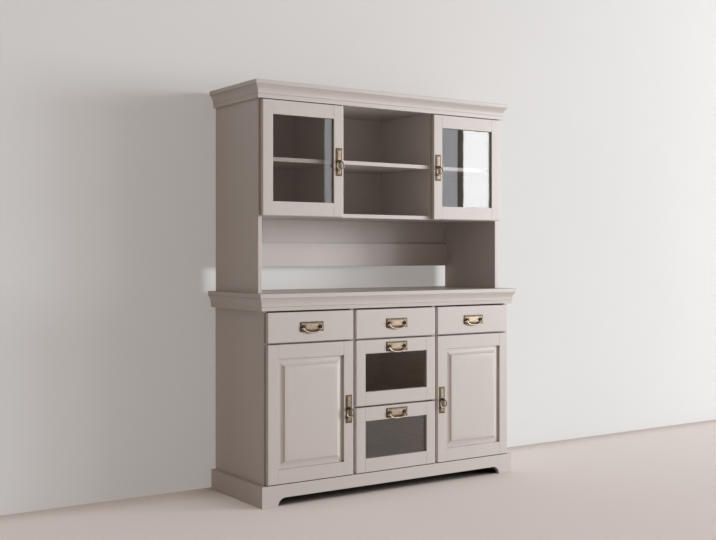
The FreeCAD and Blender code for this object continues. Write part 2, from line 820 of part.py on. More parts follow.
def hinge_arm(edge, back, wall, level):
    """The arm: an eye on the pin, a strap out of the cup, and a foot on the cabinet's side."""
    axis_x = f"({edge} + pivot_in)"
    axis_y = f"({back} - pivot_deep)"
    low = f"{level} - arm_high / 2"
    turn_x = f"({edge} + arm_turn)"
    eye = cylinder(axis_x, axis_y, low, "eye_radius", "arm_high")
    strap_long = "arm_turn - pivot_in + arm_thick / 2"
    strap = box(axis_x, f"{axis_y} - arm_thick / 2", low, strap_long, "arm_thick", "arm_high")
    neck = box(f"{turn_x} - arm_thick / 2", f"{axis_y} - arm_thick / 2", low, "arm_thick",
               "pivot_deep + arm_thick / 2 + foot_near", "arm_high")
    foot_wide = f"{turn_x} + arm_thick / 2 - ({wall})"
    foot = box(wall, f"{back} + foot_near", f"{level} - foot_high / 2", foot_wide,
               "foot_far - foot_near", "foot_high")
    bore = cylinder(axis_x, axis_y, low, "pin_radius + pin_play", "arm_high")
    return cut(fuse([eye, strap, neck, foot]), bore)


# Pulls
def bail_pull(x, face, z, name):
    """A plate with two posts, and the bail that grips them from outside with a pin in each."""
    plate = centred_box(x, face, z, "bail_plate_wide", "plate_thick", "bail_plate_high")
    inner_wide = "bail_plate_wide - 2 * plate_border"
    sunk = centred_box(x, f"{face} - plate_thick + plate_sunk", z, inner_wide, "plate_sunk",
                       "bail_plate_high - 2 * plate_border")
    root = f"{face} - plate_thick + plate_sunk"
    axis_y = f"({face} - plate_thick - bail_forward)"
    posts = [
        cylinder(f"{x} {side} post_axis", root, z, "post_radius", "post_long + plate_sunk", TOWARDS_ROOM)
        for side in "-+"
    ]
    bore_long = "(2 * (post_axis + post_radius))"
    bore = cylinder(f"{x} - {bore_long} / 2", axis_y, z, "bail_pin + pin_play", bore_long, TOWARDS_RIGHT)
    node(cut(fuse([cut(plate, sunk)] + posts), bore), f"{name}_pull_plate")

    bar_half = "(bail_half - bail_drop)"
    grip = cylinder(f"{x} - {bar_half}", axis_y, f"{z} - bail_drop", "bail_wire", f"2 * {bar_half}",
                    TOWARDS_RIGHT)
    corners = [
        torus(f"{x} - {bar_half}", axis_y, z, "bail_drop", "bail_wire", HANGING_LEFT, 90),
        torus(f"{x} + {bar_half}", axis_y, z, "bail_drop", "bail_wire", HANGING, 90),
    ]
    pin_long = "(bail_half - post_axis + post_radius)"
    pins = [
        cylinder(f"{x} - bail_half", axis_y, z, "bail_pin", pin_long, TOWARDS_RIGHT),
        cylinder(f"{x} + bail_half - {pin_long}", axis_y, z, "bail_pin", pin_long, TOWARDS_RIGHT),
    ]
    knuckles = []
    for side in "-+":
        knuckle = doc.addObject("Part::Sphere", "Knuckle")
        bind(knuckle, "Radius", "bail_wire")
        place(knuckle, f"{x} {side} bail_half", axis_y, z)
        knuckles.append(knuckle)
    node(fuse([grip] + corners + pins + knuckles), f"{name}_bail")


def ring_pull(x, face, z):
    """A tall plate with one bored boss, and the ring that hangs through it."""
    plate = centred_box(x, face, z, "ring_plate_wide", "plate_thick", "ring_plate_high")
    sunk = centred_box(x, f"{face} - plate_thick + plate_sunk", z, "ring_plate_wide - 2 * plate_border",
                       "plate_sunk", "ring_plate_high - 2 * plate_border")
    boss_z = f"({z} + boss_lift)"
    boss = cylinder(x, f"{face} - plate_thick + plate_sunk", boss_z, "boss_radius", "boss_long + plate_sunk",
                    TOWARDS_ROOM)
    axis_y = f"({face} - plate_thick - ring_forward)"
    bore_long = "(2 * boss_radius)"
    bore = cylinder(f"{x} - {bore_long} / 2", axis_y, boss_z, "boss_hole", bore_long, TOWARDS_RIGHT)
    ring = torus(x, axis_y, f"{boss_z} - ring_radius", "ring_radius", "ring_wire", HANGING)
    return cut(fuse([cut(plate, sunk), boss]), bore), ring


# Doors
def on_both_sides(piece, row, label):
    """The left door's piece and its mirror image, each a piece of its own."""
    node(piece, f"{row}_door_left_{label}")
    node(mirrored(piece), f"{row}_door_right_{label}")


def doors(name, edge, inner, back, low, high, wall, glazed):
    """A pair of doors hung on the cabinet's outer sides. Returns the arms of their hinges."""
    wide = f"({inner} - {edge})"
    tall = f"({high} - {low})"
    levels = hinge_levels(low, high)
    if glazed:
        tool, infill, beads = glazing(edge, back, low, wide, tall)
    else:
        tool, infill = raised_panel(edge, back, low, wide, tall)
        beads = []
    hinge_stile, *other_members = framed(edge, back, low, wide, tall, tool)
    hinge_stile = cut(hinge_stile, group([cup_hole(edge, back, level) for level in levels]))
    on_both_sides(group([hinge_stile] + other_members + beads), name, "frame")
    on_both_sides(infill, name, "glass" if glazed else "panel")
    on_both_sides(group([hinge_cup(edge, back, level) for level in levels]), name, "hinge_cups")
    plate_z = f"(({low} + {high}) / 2 - ring_plate_drop)"
    plate, ring = ring_pull(f"({inner} - stile / 2)", f"({back} - front_thick)", plate_z)
    on_both_sides(plate, name, "pull_plate")
    on_both_sides(ring, name, "ring")
    return [hinge_arm(edge, back, wall, level) for level in levels]


# Drawers
def drawer_box(x, wide, low, high):
    """Two grooved sides, a back and a bottom behind a drawer front, and the space of the two grooves."""
    y = BASE_FRONTS_BACK
    far = f"({y} + box_depth)"
    groove_z = f"({low} + {high} / 2 - runner_high / 2 - groove_play)"
    groove_high = "(runner_high + 2 * groove_play)"
    members = []
    for side_x, groove_x in (
        (x, x),
        (f"{x} + {wide} - side_thick", f"{x} + {wide} - groove_depth"),
    ):
        side = box(side_x, y, low, "side_thick", "box_depth", high)
        groove = box(groove_x, f"{BASE_FRONT} + board", groove_z, "groove_depth", "box_depth", groove_high)
        members.append(cut(side, groove))
    inside = f"({wide} - 2 * side_thick)"
    inner_x = f"{x} + side_thick"
    members.append(box(inner_x, f"{far} - side_thick", low, inside, "side_thick", high))
    bottom_deep = "(box_depth - side_thick)"
    members.append(box(inner_x, y, f"{low} + bottom_lift", inside, bottom_deep, "bottom_thick"))
    return group(members)


def runners(bay_x, bay_wide, low, high):
    """The two hardwood strips that a drawer's grooves slide along."""
    z = f"({low} + {high} / 2 - runner_high / 2)"
    y = f"({BASE_FRONT} + board + groove_play)"
    return [
        box(bay_x, y, z, "runner_wide", "runner_long", "runner_high"),
        box(f"{bay_x} + {bay_wide} - runner_wide", y, z, "runner_wide", "runner_long", "runner_high"),
    ]


def drawers():
    """Three drawers under the worktop and two glazed ones below the middle of them."""
    face = f"({BASE_FRONTS_BACK} - front_thick)"
    outer = "(base_width / 2 - base_reveal)"
    column_inner = "(column_axis - column_gap / 2)"
    column_outer = "(column_axis + column_gap / 2)"
    side_bay = f"({BASE_INSIDE} - column_axis - divider / 2)"
    middle_bay = "(2 * column_axis - divider)"
    columns = {
        "left": (f"-{outer}", f"({outer} - {column_outer})", f"-{BASE_INSIDE}", side_bay),
        "middle": (f"-{column_inner}", f"(2 * {column_inner})", "-(column_axis - divider / 2)", middle_bay),
        "right": (column_outer, f"({outer} - {column_outer})", "(column_axis + divider / 2)", side_bay),
    }
    all_runners = []
    for column, (x, wide, bay_x, bay_wide) in columns.items():
        name = f"drawer_{column}"
        high = f"({DRAWER_HIGH} - {DRAWER_LOW})"
        board = front_board(x, BASE_FRONTS_BACK, DRAWER_LOW, wide, high, ("left", "right", "top", "bottom"))
        node(board, f"{name}_front")
        low = f"({DRAWER_LOW} + box_lift)"
        box_wide = f"({bay_wide} - 2 * side_play)"
        node(drawer_box(f"({bay_x} + side_play)", box_wide, low, "top_box_high"), f"{name}_box")
        all_runners += runners(bay_x, bay_wide, low, "top_box_high")
        bail_pull(f"({x} + {wide} / 2)", face, f"({DRAWER_LOW} + {high} / 2)", name)

    x, wide, bay_x, bay_wide = columns["middle"]
    levels = {
        "upper": ("(glazed_line + line_gap / 2)", DOOR_HIGH),
        "lower": (DOOR_LOW, "(glazed_line - line_gap / 2)"),
    }
    for level, (low, top) in levels.items():
        name = f"glazed_drawer_{level}"
        high = f"({top} - {low})"
        tool, pane, beads = glazing(x, BASE_FRONTS_BACK, low, wide, high)
        node(group(framed(x, BASE_FRONTS_BACK, low, wide, high, tool) + beads), f"{name}_frame")
        node(pane, f"{name}_glass")
        box_low = f"({low} + 2 * box_lift)"
        box_wide = f"({bay_wide} - 2 * side_play)"
        node(drawer_box(f"({bay_x} + side_play)", box_wide, box_low, "glazed_box_high"), f"{name}_box")
        all_runners += runners(bay_x, bay_wide, box_low, "glazed_box_high")
        bail_pull(f"({x} + {wide} / 2)", face, f"({top} - rail / 2 - bail_wire)", name)
    node(group(all_runners), "drawer_runners")


base_carcass()
hutch_carcass()
shelves()
drawers()
base_arms = doors(
    "base", "-(base_width / 2 - base_reveal)", "-(column_axis + column_gap / 2)", BASE_FRONTS_BACK,
    DOOR_LOW, DOOR_HIGH, f"-{BASE_INSIDE}", glazed=False,
)
hutch_arms = doors(
    "hutch", "-(hutch_width / 2 - hutch_reveal)", "-hutch_axis", HUTCH_FRONTS_BACK,
    HUTCH_DOOR_LOW, HUTCH_DOOR_HIGH, f"-{HUTCH_INSIDE}", glazed=True,
)
left_arms = base_arms + hutch_arms
node(group(left_arms + [mirrored(arm) for arm in left_arms]), "hinge_arms")

doc.recompute()
failed = [item.Name for item in doc.Objects if {"Invalid", "Error"} & set(item.State)]
if failed:
    raise RuntimeError(f"objects that could not be worked out: {failed}")
for item in nodes:
    if item.Shape.isNull() or not item.Shape.isValid() or not item.Shape.Solids:
        raise RuntimeError(f"{item.Label} has no valid solid")

os.makedirs("parts", exist_ok=True)
for item in nodes:
    item.Shape.exportStep(os.path.join("parts", f"{item.Label}.step"))
    bounds = item.Shape.BoundBox
    print(
        f"{item.Label}: {len(item.Shape.Solids)} solids,",
        f"x {bounds.XMin:.1f} to {bounds.XMax:.1f},",
        f"y {bounds.YMin:.1f} to {bounds.YMax:.1f},",
        f"z {bounds.ZMin:.1f} to {bounds.ZMax:.1f}",
    )
print(len(nodes), "pieces")
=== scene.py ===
import json
import math

import bmesh
import bpy
import numpy as np
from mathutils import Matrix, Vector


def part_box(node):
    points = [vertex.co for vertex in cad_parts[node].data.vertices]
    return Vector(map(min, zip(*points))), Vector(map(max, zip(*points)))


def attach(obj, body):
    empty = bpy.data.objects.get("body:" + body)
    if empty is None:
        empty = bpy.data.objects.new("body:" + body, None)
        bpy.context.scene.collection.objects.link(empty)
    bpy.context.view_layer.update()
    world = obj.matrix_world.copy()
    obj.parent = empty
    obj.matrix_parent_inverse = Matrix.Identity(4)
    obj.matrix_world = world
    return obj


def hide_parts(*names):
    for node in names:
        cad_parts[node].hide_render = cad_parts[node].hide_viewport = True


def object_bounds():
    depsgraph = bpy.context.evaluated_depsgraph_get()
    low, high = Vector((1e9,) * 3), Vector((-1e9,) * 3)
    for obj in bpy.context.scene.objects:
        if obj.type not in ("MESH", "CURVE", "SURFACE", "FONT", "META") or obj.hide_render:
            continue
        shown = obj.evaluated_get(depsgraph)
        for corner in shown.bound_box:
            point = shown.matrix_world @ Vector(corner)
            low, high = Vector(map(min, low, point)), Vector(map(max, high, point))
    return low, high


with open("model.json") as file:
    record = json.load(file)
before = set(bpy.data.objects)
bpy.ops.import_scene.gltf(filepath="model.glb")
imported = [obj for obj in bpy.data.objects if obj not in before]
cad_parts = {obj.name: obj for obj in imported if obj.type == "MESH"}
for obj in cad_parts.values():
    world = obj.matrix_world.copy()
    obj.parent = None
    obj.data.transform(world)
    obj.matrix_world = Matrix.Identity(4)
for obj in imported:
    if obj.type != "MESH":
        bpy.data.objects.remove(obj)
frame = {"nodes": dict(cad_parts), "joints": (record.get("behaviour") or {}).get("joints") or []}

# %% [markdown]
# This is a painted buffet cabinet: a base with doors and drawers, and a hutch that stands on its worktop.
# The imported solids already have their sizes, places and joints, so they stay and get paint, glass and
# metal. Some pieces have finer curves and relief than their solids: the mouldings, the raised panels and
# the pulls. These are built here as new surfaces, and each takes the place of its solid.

cad_low, cad_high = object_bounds()
nodes = frame["nodes"]
joints = {joint["name"]: joint for joint in frame["joints"]}
MM = 0.001

# %% [markdown]
# Paint, wood and metal are never one even colour, so each material is a small network of shader nodes.
# Such a network could be drawn by hand in the node editor. In a script it is read from top to bottom, and
# a few helpers keep it short: one adds a node and fills its sockets, and the others do sums and mixtures.

# %% Helpers for shader networks
def add(tree, kind, inputs=None, **settings):
    """Adds one shader node. Inputs maps a socket's name or number to a value or to another socket."""
    made = tree.nodes.new(kind)
    for key, value in settings.items():
        setattr(made, key, value)
    for key, value in (inputs or {}).items():
        if isinstance(value, bpy.types.NodeSocket):
            tree.links.new(value, made.inputs[key])
        else:
            made.inputs[key].default_value = value
    return made


def arithmetic(tree, operation, first, second=0.0):
    """The result of one arithmetic step on two values."""
    return add(tree, "ShaderNodeMath", {0: first, 1: second}, operation=operation).outputs[0]


def scaled(tree, value, factor, offset=0.0):
    """A value times a factor, plus an offset."""
    inputs = {0: value, 1: factor, 2: offset}
    return add(tree, "ShaderNodeMath", inputs, operation="MULTIPLY_ADD").outputs[0]


def ramped(tree, value, low, high):
    """A value stretched so that low becomes 0 and high becomes 1, and kept between these."""
    inputs = {"Value": value, "From Min": low, "From Max": high}
    return add(tree, "ShaderNodeMapRange", inputs).outputs[0]


def mixed(tree, factor, first, second):
    """A colour that goes from the first to the second as factor goes from 0 to 1.

    The Mix node has sockets for each kind of data. Inputs 6 and 7 and output 2 are those for colours.
    """
    return add(tree, "ShaderNodeMix", {0: factor, 6: first, 7: second}, data_type="RGBA").outputs[2]

# %% [markdown]
# A finish lives from its patterns: strokes, clouds, grain, soil in the corners. Images could hold them,
# but need unwrapped meshes. Noise that is read at a point's place needs none, and its scale is a real
# size. Ambient occlusion finds the corners, and a bump tilts the normal where relief is too fine to model.

# %% Helpers for patterns
def object_place(tree):
    """Where a point lies in the cabinet's frame, in metres."""
    return add(tree, "ShaderNodeTexCoord").outputs["Object"]


def stretched(tree, vector, scale):
    """A place multiplied by three scales. A pattern looks long along the axis with the smallest scale."""
    return add(tree, "ShaderNodeMapping", {"Vector": vector, "Scale": scale}).outputs[0]


def noise(tree, vector, scale=1.0, detail=3.0):
    """Cloudy values from 0 to 1. Scale is how many clouds there are in a metre."""
    inputs = {"Vector": vector, "Scale": scale, "Detail": detail}
    return add(tree, "ShaderNodeTexNoise", inputs).outputs["Fac"]


def openness(tree, reach):
    """The open share of the space within reach of a point: 1 on a free face, near 0 in a gap."""
    return add(tree, "ShaderNodeAmbientOcclusion", {"Distance": reach}, samples=8).outputs["AO"]


def bumped(tree, height, strength, distance, normal=None):
    """A surface normal tilted by the slope of a height."""
    inputs = {"Height": height, "Strength": strength, "Distance": distance}
    if normal is not None:
        inputs["Normal"] = normal
    return add(tree, "ShaderNodeBump", inputs).outputs["Normal"]

# %% [markdown]
# Many boards share one finish, and only its direction or its lines change. Every material could have a
# full network of its own. A node group is shorter: it is a network with named sockets, used like a
# function. Each group that is a finish gives back a colour, a roughness and a normal.

# %% Helpers for groups
FINISH_OUTPUTS = [
    ("Colour", "NodeSocketColor"),
    ("Roughness", "NodeSocketFloat"),
    ("Normal", "NodeSocketVector"),
]


def new_group(name, inputs, outputs=FINISH_OUTPUTS):
    """An empty node group. Returns it with the sockets that lead into and out of its network."""
    group = bpy.data.node_groups.new(name, "ShaderNodeTree")
    for label, kind, default in inputs:
        group.interface.new_socket(label, in_out="INPUT", socket_type=kind).default_value = default
    for label, kind in outputs:
        group.interface.new_socket(label, in_out="OUTPUT", socket_type=kind)
    entry = group.nodes.new("NodeGroupInput")
    leave = group.nodes.new("NodeGroupOutput")
    return group, entry.outputs, leave.inputs


def give_back(group, results, values):
    """Links values to the outputs of a group by their labels."""
    for label, value in values.items():
        group.links.new(value, results[label])
    print("network", group.name, "has", len(group.nodes), "nodes")


def placed(tree, group, inputs=None):
    """The outputs of a group that is placed in a material with the given inputs."""
    return add(tree, "ShaderNodeGroup", inputs, node_tree=group).outputs

# %% [markdown]
# A material holds the shader, which says how light leaves a surface. The shader could sit in the group
# too, but the export can't read it there. The Principled shader suits paint, wood and metal alike, so one
# helper feeds any finish into it. Metal is the same shader with Metallic at 1.

# %% Helpers for materials
def new_material(name):
    """An empty material. Returns it with its network and its output node."""
    material = bpy.data.materials.new(name)
    material.use_nodes = True
    tree = material.node_tree
    tree.nodes.clear()
    print("material", name)
    return material, tree, tree.nodes.new("ShaderNodeOutputMaterial")


def coated(tree, output, finish, colour=None, metallic=0.0):
    """Feeds the three results of a finish into a shader, or another colour in place of its own."""
    inputs = {
        "Base Color": finish["Colour"] if colour is None else colour,
        "Roughness": finish["Roughness"],
        "Normal": finish["Normal"],
        "Metallic": metallic,
    }
    shader = add(tree, "ShaderNodeBsdfPrincipled", inputs)
    tree.links.new(shader.outputs[0], output.inputs["Surface"])

# %% [markdown]
# The cabinet has a satin paint in greige, a grey with some beige in it. Close up, faint strokes run along
# each board, the fine peel of a roller lies over it, and the tone drifts. Where little space is open the
# colour is paler, a painted highlight, and in narrow gaps it is a dark painted shade. An image could show
# all this, but it would blur close up and need unwrapping. Noise and ambient occlusion work it out from
# the shape instead, and a bevel normal eases sharp edges.

# %% Satin paint
GREIGE = (0.563, 0.528, 0.503, 1)
# A painted highlight: the paler colour that the paint takes where little space is open.
PAINTED_HIGHLIGHT = (0.86, 0.81, 0.77, 1)
# Painted shade: the near-black colour that the paint takes deep in gaps and in narrow lines.
PAINTED_GAP_SHADE = (0.03, 0.022, 0.017, 1)
UPRIGHT = (90, 90, 3)
LYING = (3, 90, 90)
DRIFTS_PER_METRE = 2.5
PEEL_PER_METRE = 520.0
TONE_LEVEL = 0.93
TONE_BY_STROKES = 0.06
TONE_BY_DRIFTS = 0.08
SATIN_LEVEL = 0.36
SATIN_BY_STROKES = 0.14
PEEL_SHARE = 0.35
PAINT_RELIEF = 0.6 * MM
EDGE_RADIUS = 3 * MM
GAP_REACH = 30 * MM
LINE_REACH = 12 * MM
# Each pair is the openness at which a change starts and at which it is complete.
PAINTED_HIGHLIGHT_OPENNESS = (0.46, 0.30)
DEEP_IN_A_GAP = (0.15, 0.10)
ON_A_LINE = (0.48, 0.36)


def paint_group():
    """Satin paint: strokes along the stretch, drifts of tone, a roller's peel, and painted shade in the
    gaps.

    The colour is multiplied by a level plus small shares of strokes and drifts. It is paler, a painted
    highlight, where little space is open, and a dark painted shade where very little is or a gap is narrow.
    """
    group, given, results = new_group("Satin paint", [
        ("Colour", "NodeSocketColor", GREIGE),
        ("Stretch", "NodeSocketVector", UPRIGHT),
    ])
    place = object_place(group)
    strokes = noise(group, stretched(group, place, given["Stretch"]), detail=5.0)
    drifts = noise(group, place, DRIFTS_PER_METRE)
    peel = noise(group, place, PEEL_PER_METRE, detail=2.0)
    tone = scaled(group, strokes, TONE_BY_STROKES, TONE_LEVEL)
    tone = scaled(group, drifts, TONE_BY_DRIFTS, tone)
    toned = {0: given["Colour"], "Scale": tone}
    shade = add(group, "ShaderNodeVectorMath", toned, operation="SCALE").outputs[0]
    wide = openness(group, GAP_REACH)
    narrow = openness(group, LINE_REACH)
    # A painted highlight where little space is open, then painted shade deep in gaps and in narrow lines.
    highlighted = mixed(group, ramped(group, wide, *PAINTED_HIGHLIGHT_OPENNESS), shade, PAINTED_HIGHLIGHT)
    deep = ramped(group, wide, *DEEP_IN_A_GAP)
    gap_shade = arithmetic(group, "MAXIMUM", deep, ramped(group, narrow, *ON_A_LINE))
    satin = scaled(group, strokes, SATIN_BY_STROKES, SATIN_LEVEL)
    height = scaled(group, peel, PEEL_SHARE, strokes)
    eased = add(group, "ShaderNodeBevel", {"Radius": EDGE_RADIUS}, samples=4).outputs["Normal"]
    give_back(group, results, {
        "Colour": mixed(group, gap_shade, highlighted, PAINTED_GAP_SHADE),
        "Roughness": arithmetic(group, "MAXIMUM", satin, gap_shade),
        "Normal": bumped(group, height, strength=0.10, distance=PAINT_RELIEF, normal=eased),
    })
    return group


PAINT = paint_group()

# %% [markdown]
# The doors and the glazed drawers are frames: rails between two upright stiles. Wood shrinks and swells,
# so a hairline shows through the paint where a rail meets a stile. A groove in the mesh would need very
# thin faces. A mask is enough for so fine a line: it marks front faces at two distances from the middle.

# %% Joint lines
LINE_FADE = (1.1 * MM, 0.3 * MM)
FACING_FRONT = (-0.9, -0.98)


def joint_line_group():
    """A mask of the fine lines where rails meet stiles.

    It depends on how near the distance from the cabinet's middle comes to the first or second one.
    """
    group, given, results = new_group(
        "Joint lines",
        [("First", "NodeSocketFloat", 0.0), ("Second", "NodeSocketFloat", 0.0)],
        [("Mask", "NodeSocketFloat")],
    )
    coordinates = add(group, "ShaderNodeTexCoord").outputs
    place = add(group, "ShaderNodeSeparateXYZ", {0: coordinates["Object"]}).outputs
    facing = add(group, "ShaderNodeSeparateXYZ", {0: coordinates["Normal"]}).outputs
    away = arithmetic(group, "ABSOLUTE", place["X"])
    offsets = [arithmetic(group, "SUBTRACT", away, given[label]) for label in ("First", "Second")]
    gaps = [arithmetic(group, "ABSOLUTE", offset) for offset in offsets]
    line = ramped(group, arithmetic(group, "MINIMUM", *gaps), *LINE_FADE)
    front = ramped(group, facing["Y"], *FACING_FRONT)
    give_back(group, results, {"Mask": arithmetic(group, "MULTIPLY", line, front)})
    return group


JOINT_LINES = joint_line_group()

# %% [markdown]
# A painter draws the brush along the board. So upright and lying boards have the same paint with another
# stretch, and frames have joint lines as well. The places of the lines could be typed in. Read from the
# boxes of the frames, they fit the solids by themselves.

# %% Painted materials
STILE = 52 * MM
JOINT_SHADE = (0.16, 0.13, 0.105, 1)
JOINT_STRENGTH = 0.5


def paint(name, stretch, joint_lines=None):
    """A painted surface, with dark joint lines at two distances from the middle where they are given."""
    material, tree, output = new_material(name)
    finish = placed(tree, PAINT, {"Colour": GREIGE, "Stretch": stretch})
    colour = finish["Colour"]
    if joint_lines:
        first, second = joint_lines
        mask = placed(tree, JOINT_LINES, {"First": first, "Second": second})["Mask"]
        colour = mixed(tree, arithmetic(tree, "MULTIPLY", mask, JOINT_STRENGTH), colour, JOINT_SHADE)
    coated(tree, output, finish, colour)
    return material


def frame_edges(node_name):
    """Distances from the cabinet's middle to the inner edges of a frame's two stiles."""
    low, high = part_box(node_name)
    near, far = sorted(abs(value) for value in (low.x, high.x))
    if low.x * high.x < 0:
        return far - STILE, far - STILE
    return near + STILE, far - STILE


paint_upright = paint("greige_upright", UPRIGHT)
paint_lying = paint("greige_lying", LYING)
paint_base_frames = paint("greige_base_frames", UPRIGHT, frame_edges("base_door_left_frame"))
paint_hutch_frames = paint("greige_hutch_frames", UPRIGHT, frame_edges("hutch_door_left_frame"))
paint_drawer_frames = paint("greige_drawer_frames", LYING, frame_edges("glazed_drawer_upper_frame"))

# %% [markdown]
# The pulls are cast brass, browned with age and rubbed by hands: bright where fingers reach, dark in the
# hollows. The shape alone could give such a mask, but hands touch a bow more than its plate. So each mesh
# carries a wear value for every point, and noise and ambient occlusion break it up.

# %% Aged brass
BROWN_BRASS = (0.040, 0.026, 0.015, 1)
RUBBED_BRASS = (0.50, 0.405, 0.31, 1)
PATCHES_PER_METRE = 170.0
CASTING_PER_METRE = 900.0
PATCH_SHARE = 0.7
CASTING_SHARE = 0.4
BRASS_RELIEF = 0.5 * MM
HOLLOW_REACH = 6 * MM
# Each pair is the value at which a change starts and at which it is complete.
RUBBED = (0.35, 1.15)
OUT_OF_HOLLOWS = (0.35, 0.75)
DULL_BRASS = 0.58
POLISH = 0.24


def patina_group():
    """Aged brass: rubbed bright where Wear is high, and brown in the hollows, with a grainy cast skin.

    Wear plus a share of cloudy patches is stretched to a mask, which fades where little space is open.
    """
    group, given, results = new_group("Aged brass", [("Wear", "NodeSocketFloat", 0.0)])
    place = object_place(group)
    patches = noise(group, place, PATCHES_PER_METRE, detail=4.0)
    casting = noise(group, place, CASTING_PER_METRE, detail=2.0)
    touched = ramped(group, scaled(group, patches, PATCH_SHARE, given["Wear"]), *RUBBED)
    reached = ramped(group, openness(group, HOLLOW_REACH), *OUT_OF_HOLLOWS)
    rubbed = arithmetic(group, "MULTIPLY", touched, reached)
    height = scaled(group, casting, CASTING_SHARE, patches)
    give_back(group, results, {
        "Colour": mixed(group, rubbed, BROWN_BRASS, RUBBED_BRASS),
        "Roughness": scaled(group, rubbed, -POLISH, DULL_BRASS),
        "Normal": bumped(group, height, strength=0.25, distance=BRASS_RELIEF),
    })
    return group


def brass():
    """Aged brass that is rubbed bright where the mesh's wear attribute is high."""
    material, tree, output = new_material("antique_brass_worn")
    worn = add(tree, "ShaderNodeAttribute", attribute_name="wear").outputs["Fac"]
    finish = placed(tree, patina_group(), {"Wear": worn})
    coated(tree, output, finish, metallic=1.0)
    return material


antique_brass = brass()

# %% [markdown]
# The drawer boxes and the strips that they run on are sealed hardwood, with fibres from front to back and
# short dark pores. A photo of wood could be laid on. Noise that is stretched along one axis looks like
# fibres on every face without unwrapping, and the same noise at a finer scale gives the pores.

# %% Hardwood of the drawer boxes
DARK_WOOD = (0.30, 0.20, 0.115, 1)
LIGHT_WOOD = (0.50, 0.37, 0.24, 1)
PORE = (0.22, 0.14, 0.08, 1)
FRONT_TO_BACK = (60, 4, 60)
PORES_TO_A_FIBRE = 5.0
OPEN_PORES = (0.62, 0.75)
SEALED_LEVEL = 0.42
SEALED_BY_FIBRES = 0.2
PORE_DEPTH = 0.5 * MM


def hardwood_group():
    """Sealed hardwood: fibres along the stretch, mixed from dark to light, with dark pores over them."""
    group, given, results = new_group("Hardwood", [("Stretch", "NodeSocketVector", FRONT_TO_BACK)])
    along = stretched(group, object_place(group), given["Stretch"])
    fibres = noise(group, along, detail=6.0)
    pores = noise(group, along, PORES_TO_A_FIBRE)
    colour = mixed(group, fibres, DARK_WOOD, LIGHT_WOOD)
    give_back(group, results, {
        "Colour": mixed(group, ramped(group, pores, *OPEN_PORES), colour, PORE),
        "Roughness": scaled(group, fibres, SEALED_BY_FIBRES, SEALED_LEVEL),
        "Normal": bumped(group, pores, strength=0.15, distance=PORE_DEPTH),
    })
    return group


def group_material(name, group, metallic=0.0):
    """A material that takes everything from one group."""
    material, tree, output = new_material(name)
    coated(tree, output, placed(tree, group), metallic=metallic)
    return material


hardwood = group_material("sealed_hardwood", hardwood_group())

# %% [markdown]
# The hinges and the shelf pegs are steel with a thin nickel plating: brushed, and a little duller in
# patches. An anisotropic shader could give the brushing, but it would need a direction on every mesh. Fine
# noise that is squeezed along one axis tilts the normal and changes the roughness instead.

# %% Plated steel
DULL_NICKEL = (0.42, 0.42, 0.41, 1)
BRIGHT_NICKEL = (0.66, 0.65, 0.63, 1)
BRUSHED_ACROSS = (60, 1500, 60)
DULL_PATCHES_PER_METRE = 120.0
STEEL_LEVEL = 0.24
STEEL_BY_BRUSHING = 0.2
BRUSHING_DEPTH = 0.3 * MM


def plated_steel_group():
    """Plated steel: fine brushed lines in roughness and normal, and cloudy patches in the colour."""
    group, _, results = new_group("Plated steel", [])
    place = object_place(group)
    brushing = noise(group, stretched(group, place, BRUSHED_ACROSS), detail=2.0)
    patches = noise(group, place, DULL_PATCHES_PER_METRE)
    give_back(group, results, {
        "Colour": mixed(group, patches, DULL_NICKEL, BRIGHT_NICKEL),
        "Roughness": scaled(group, brushing, STEEL_BY_BRUSHING, STEEL_LEVEL),
        "Normal": bumped(group, brushing, strength=0.12, distance=BRUSHING_DEPTH),
    })
    return group


steel = group_material("plated_steel", plated_steel_group(), metallic=1.0)

# %% [markdown]
# The panes are thin and clear. Straight on, one looks into the cupboards, and at a slant the panes mirror
# the room. A full glass shader would bend the light twice and leave the cupboards dark. For thin panes a
# mix of a clear and a mirror shader is enough, with the share of mirror that Fresnel's law gives.

# %% Glass
PANE_TINT = (0.93, 0.93, 0.925, 1)
SMEARS_PER_METRE = 14.0
SMEAR_ROUGHNESS = 0.03
WAVES_PER_METRE = 5.0
WAVE_HEIGHT = 2 * MM
DOOR_PANE_INDEX = 1.62
DRAWER_PANE_INDEX = 1.95


def blended(tree, factor, first, second):
    """A shader that goes from the first to the second as factor goes from 0 to 1."""
    return add(tree, "ShaderNodeMixShader", {0: factor, 1: first, 2: second}).outputs[0]


def glass(name, index):
    """A thin pane: clear straight on, more mirror-like at a slant, with faint smears and waves.

    The index is the ratio that Fresnel's law needs. A larger one mirrors more. It is turned over on the
    faces that a look leaves the pane by, so that both faces mirror alike.
    """
    material, tree, output = new_material(name)
    place = object_place(tree)
    uneven = noise(tree, place, WAVES_PER_METRE, detail=1.0)
    waves = bumped(tree, uneven, strength=0.02, distance=WAVE_HEIGHT)
    smears = arithmetic(tree, "MULTIPLY", noise(tree, place, SMEARS_PER_METRE), SMEAR_ROUGHNESS)
    clear = add(tree, "ShaderNodeBsdfTransparent", {"Color": PANE_TINT}).outputs[0]
    mirror = add(tree, "ShaderNodeBsdfGlossy", {"Roughness": smears, "Normal": waves}).outputs[0]
    leaving = add(tree, "ShaderNodeNewGeometry").outputs["Backfacing"]
    turn_over = {"Value": leaving, "To Min": index, "To Max": 1 / index}
    ratio = add(tree, "ShaderNodeMapRange", turn_over).outputs[0]
    slant = add(tree, "ShaderNodeFresnel", {"IOR": ratio, "Normal": waves}).outputs[0]
    tree.links.new(blended(tree, slant, clear, mirror), output.inputs["Surface"])
    return material


door_pane = glass("door_pane", DOOR_PANE_INDEX)
drawer_pane = glass("drawer_pane", DRAWER_PANE_INDEX)

# %% [markdown]
# Every solid needs one of these finishes. Each could be named one by one, but the names already say what
# a solid is: all that end in glass are panes. So a short list goes from finish to endings. The first
# finish that fits is used, and a solid that none fits is an upright painted board.

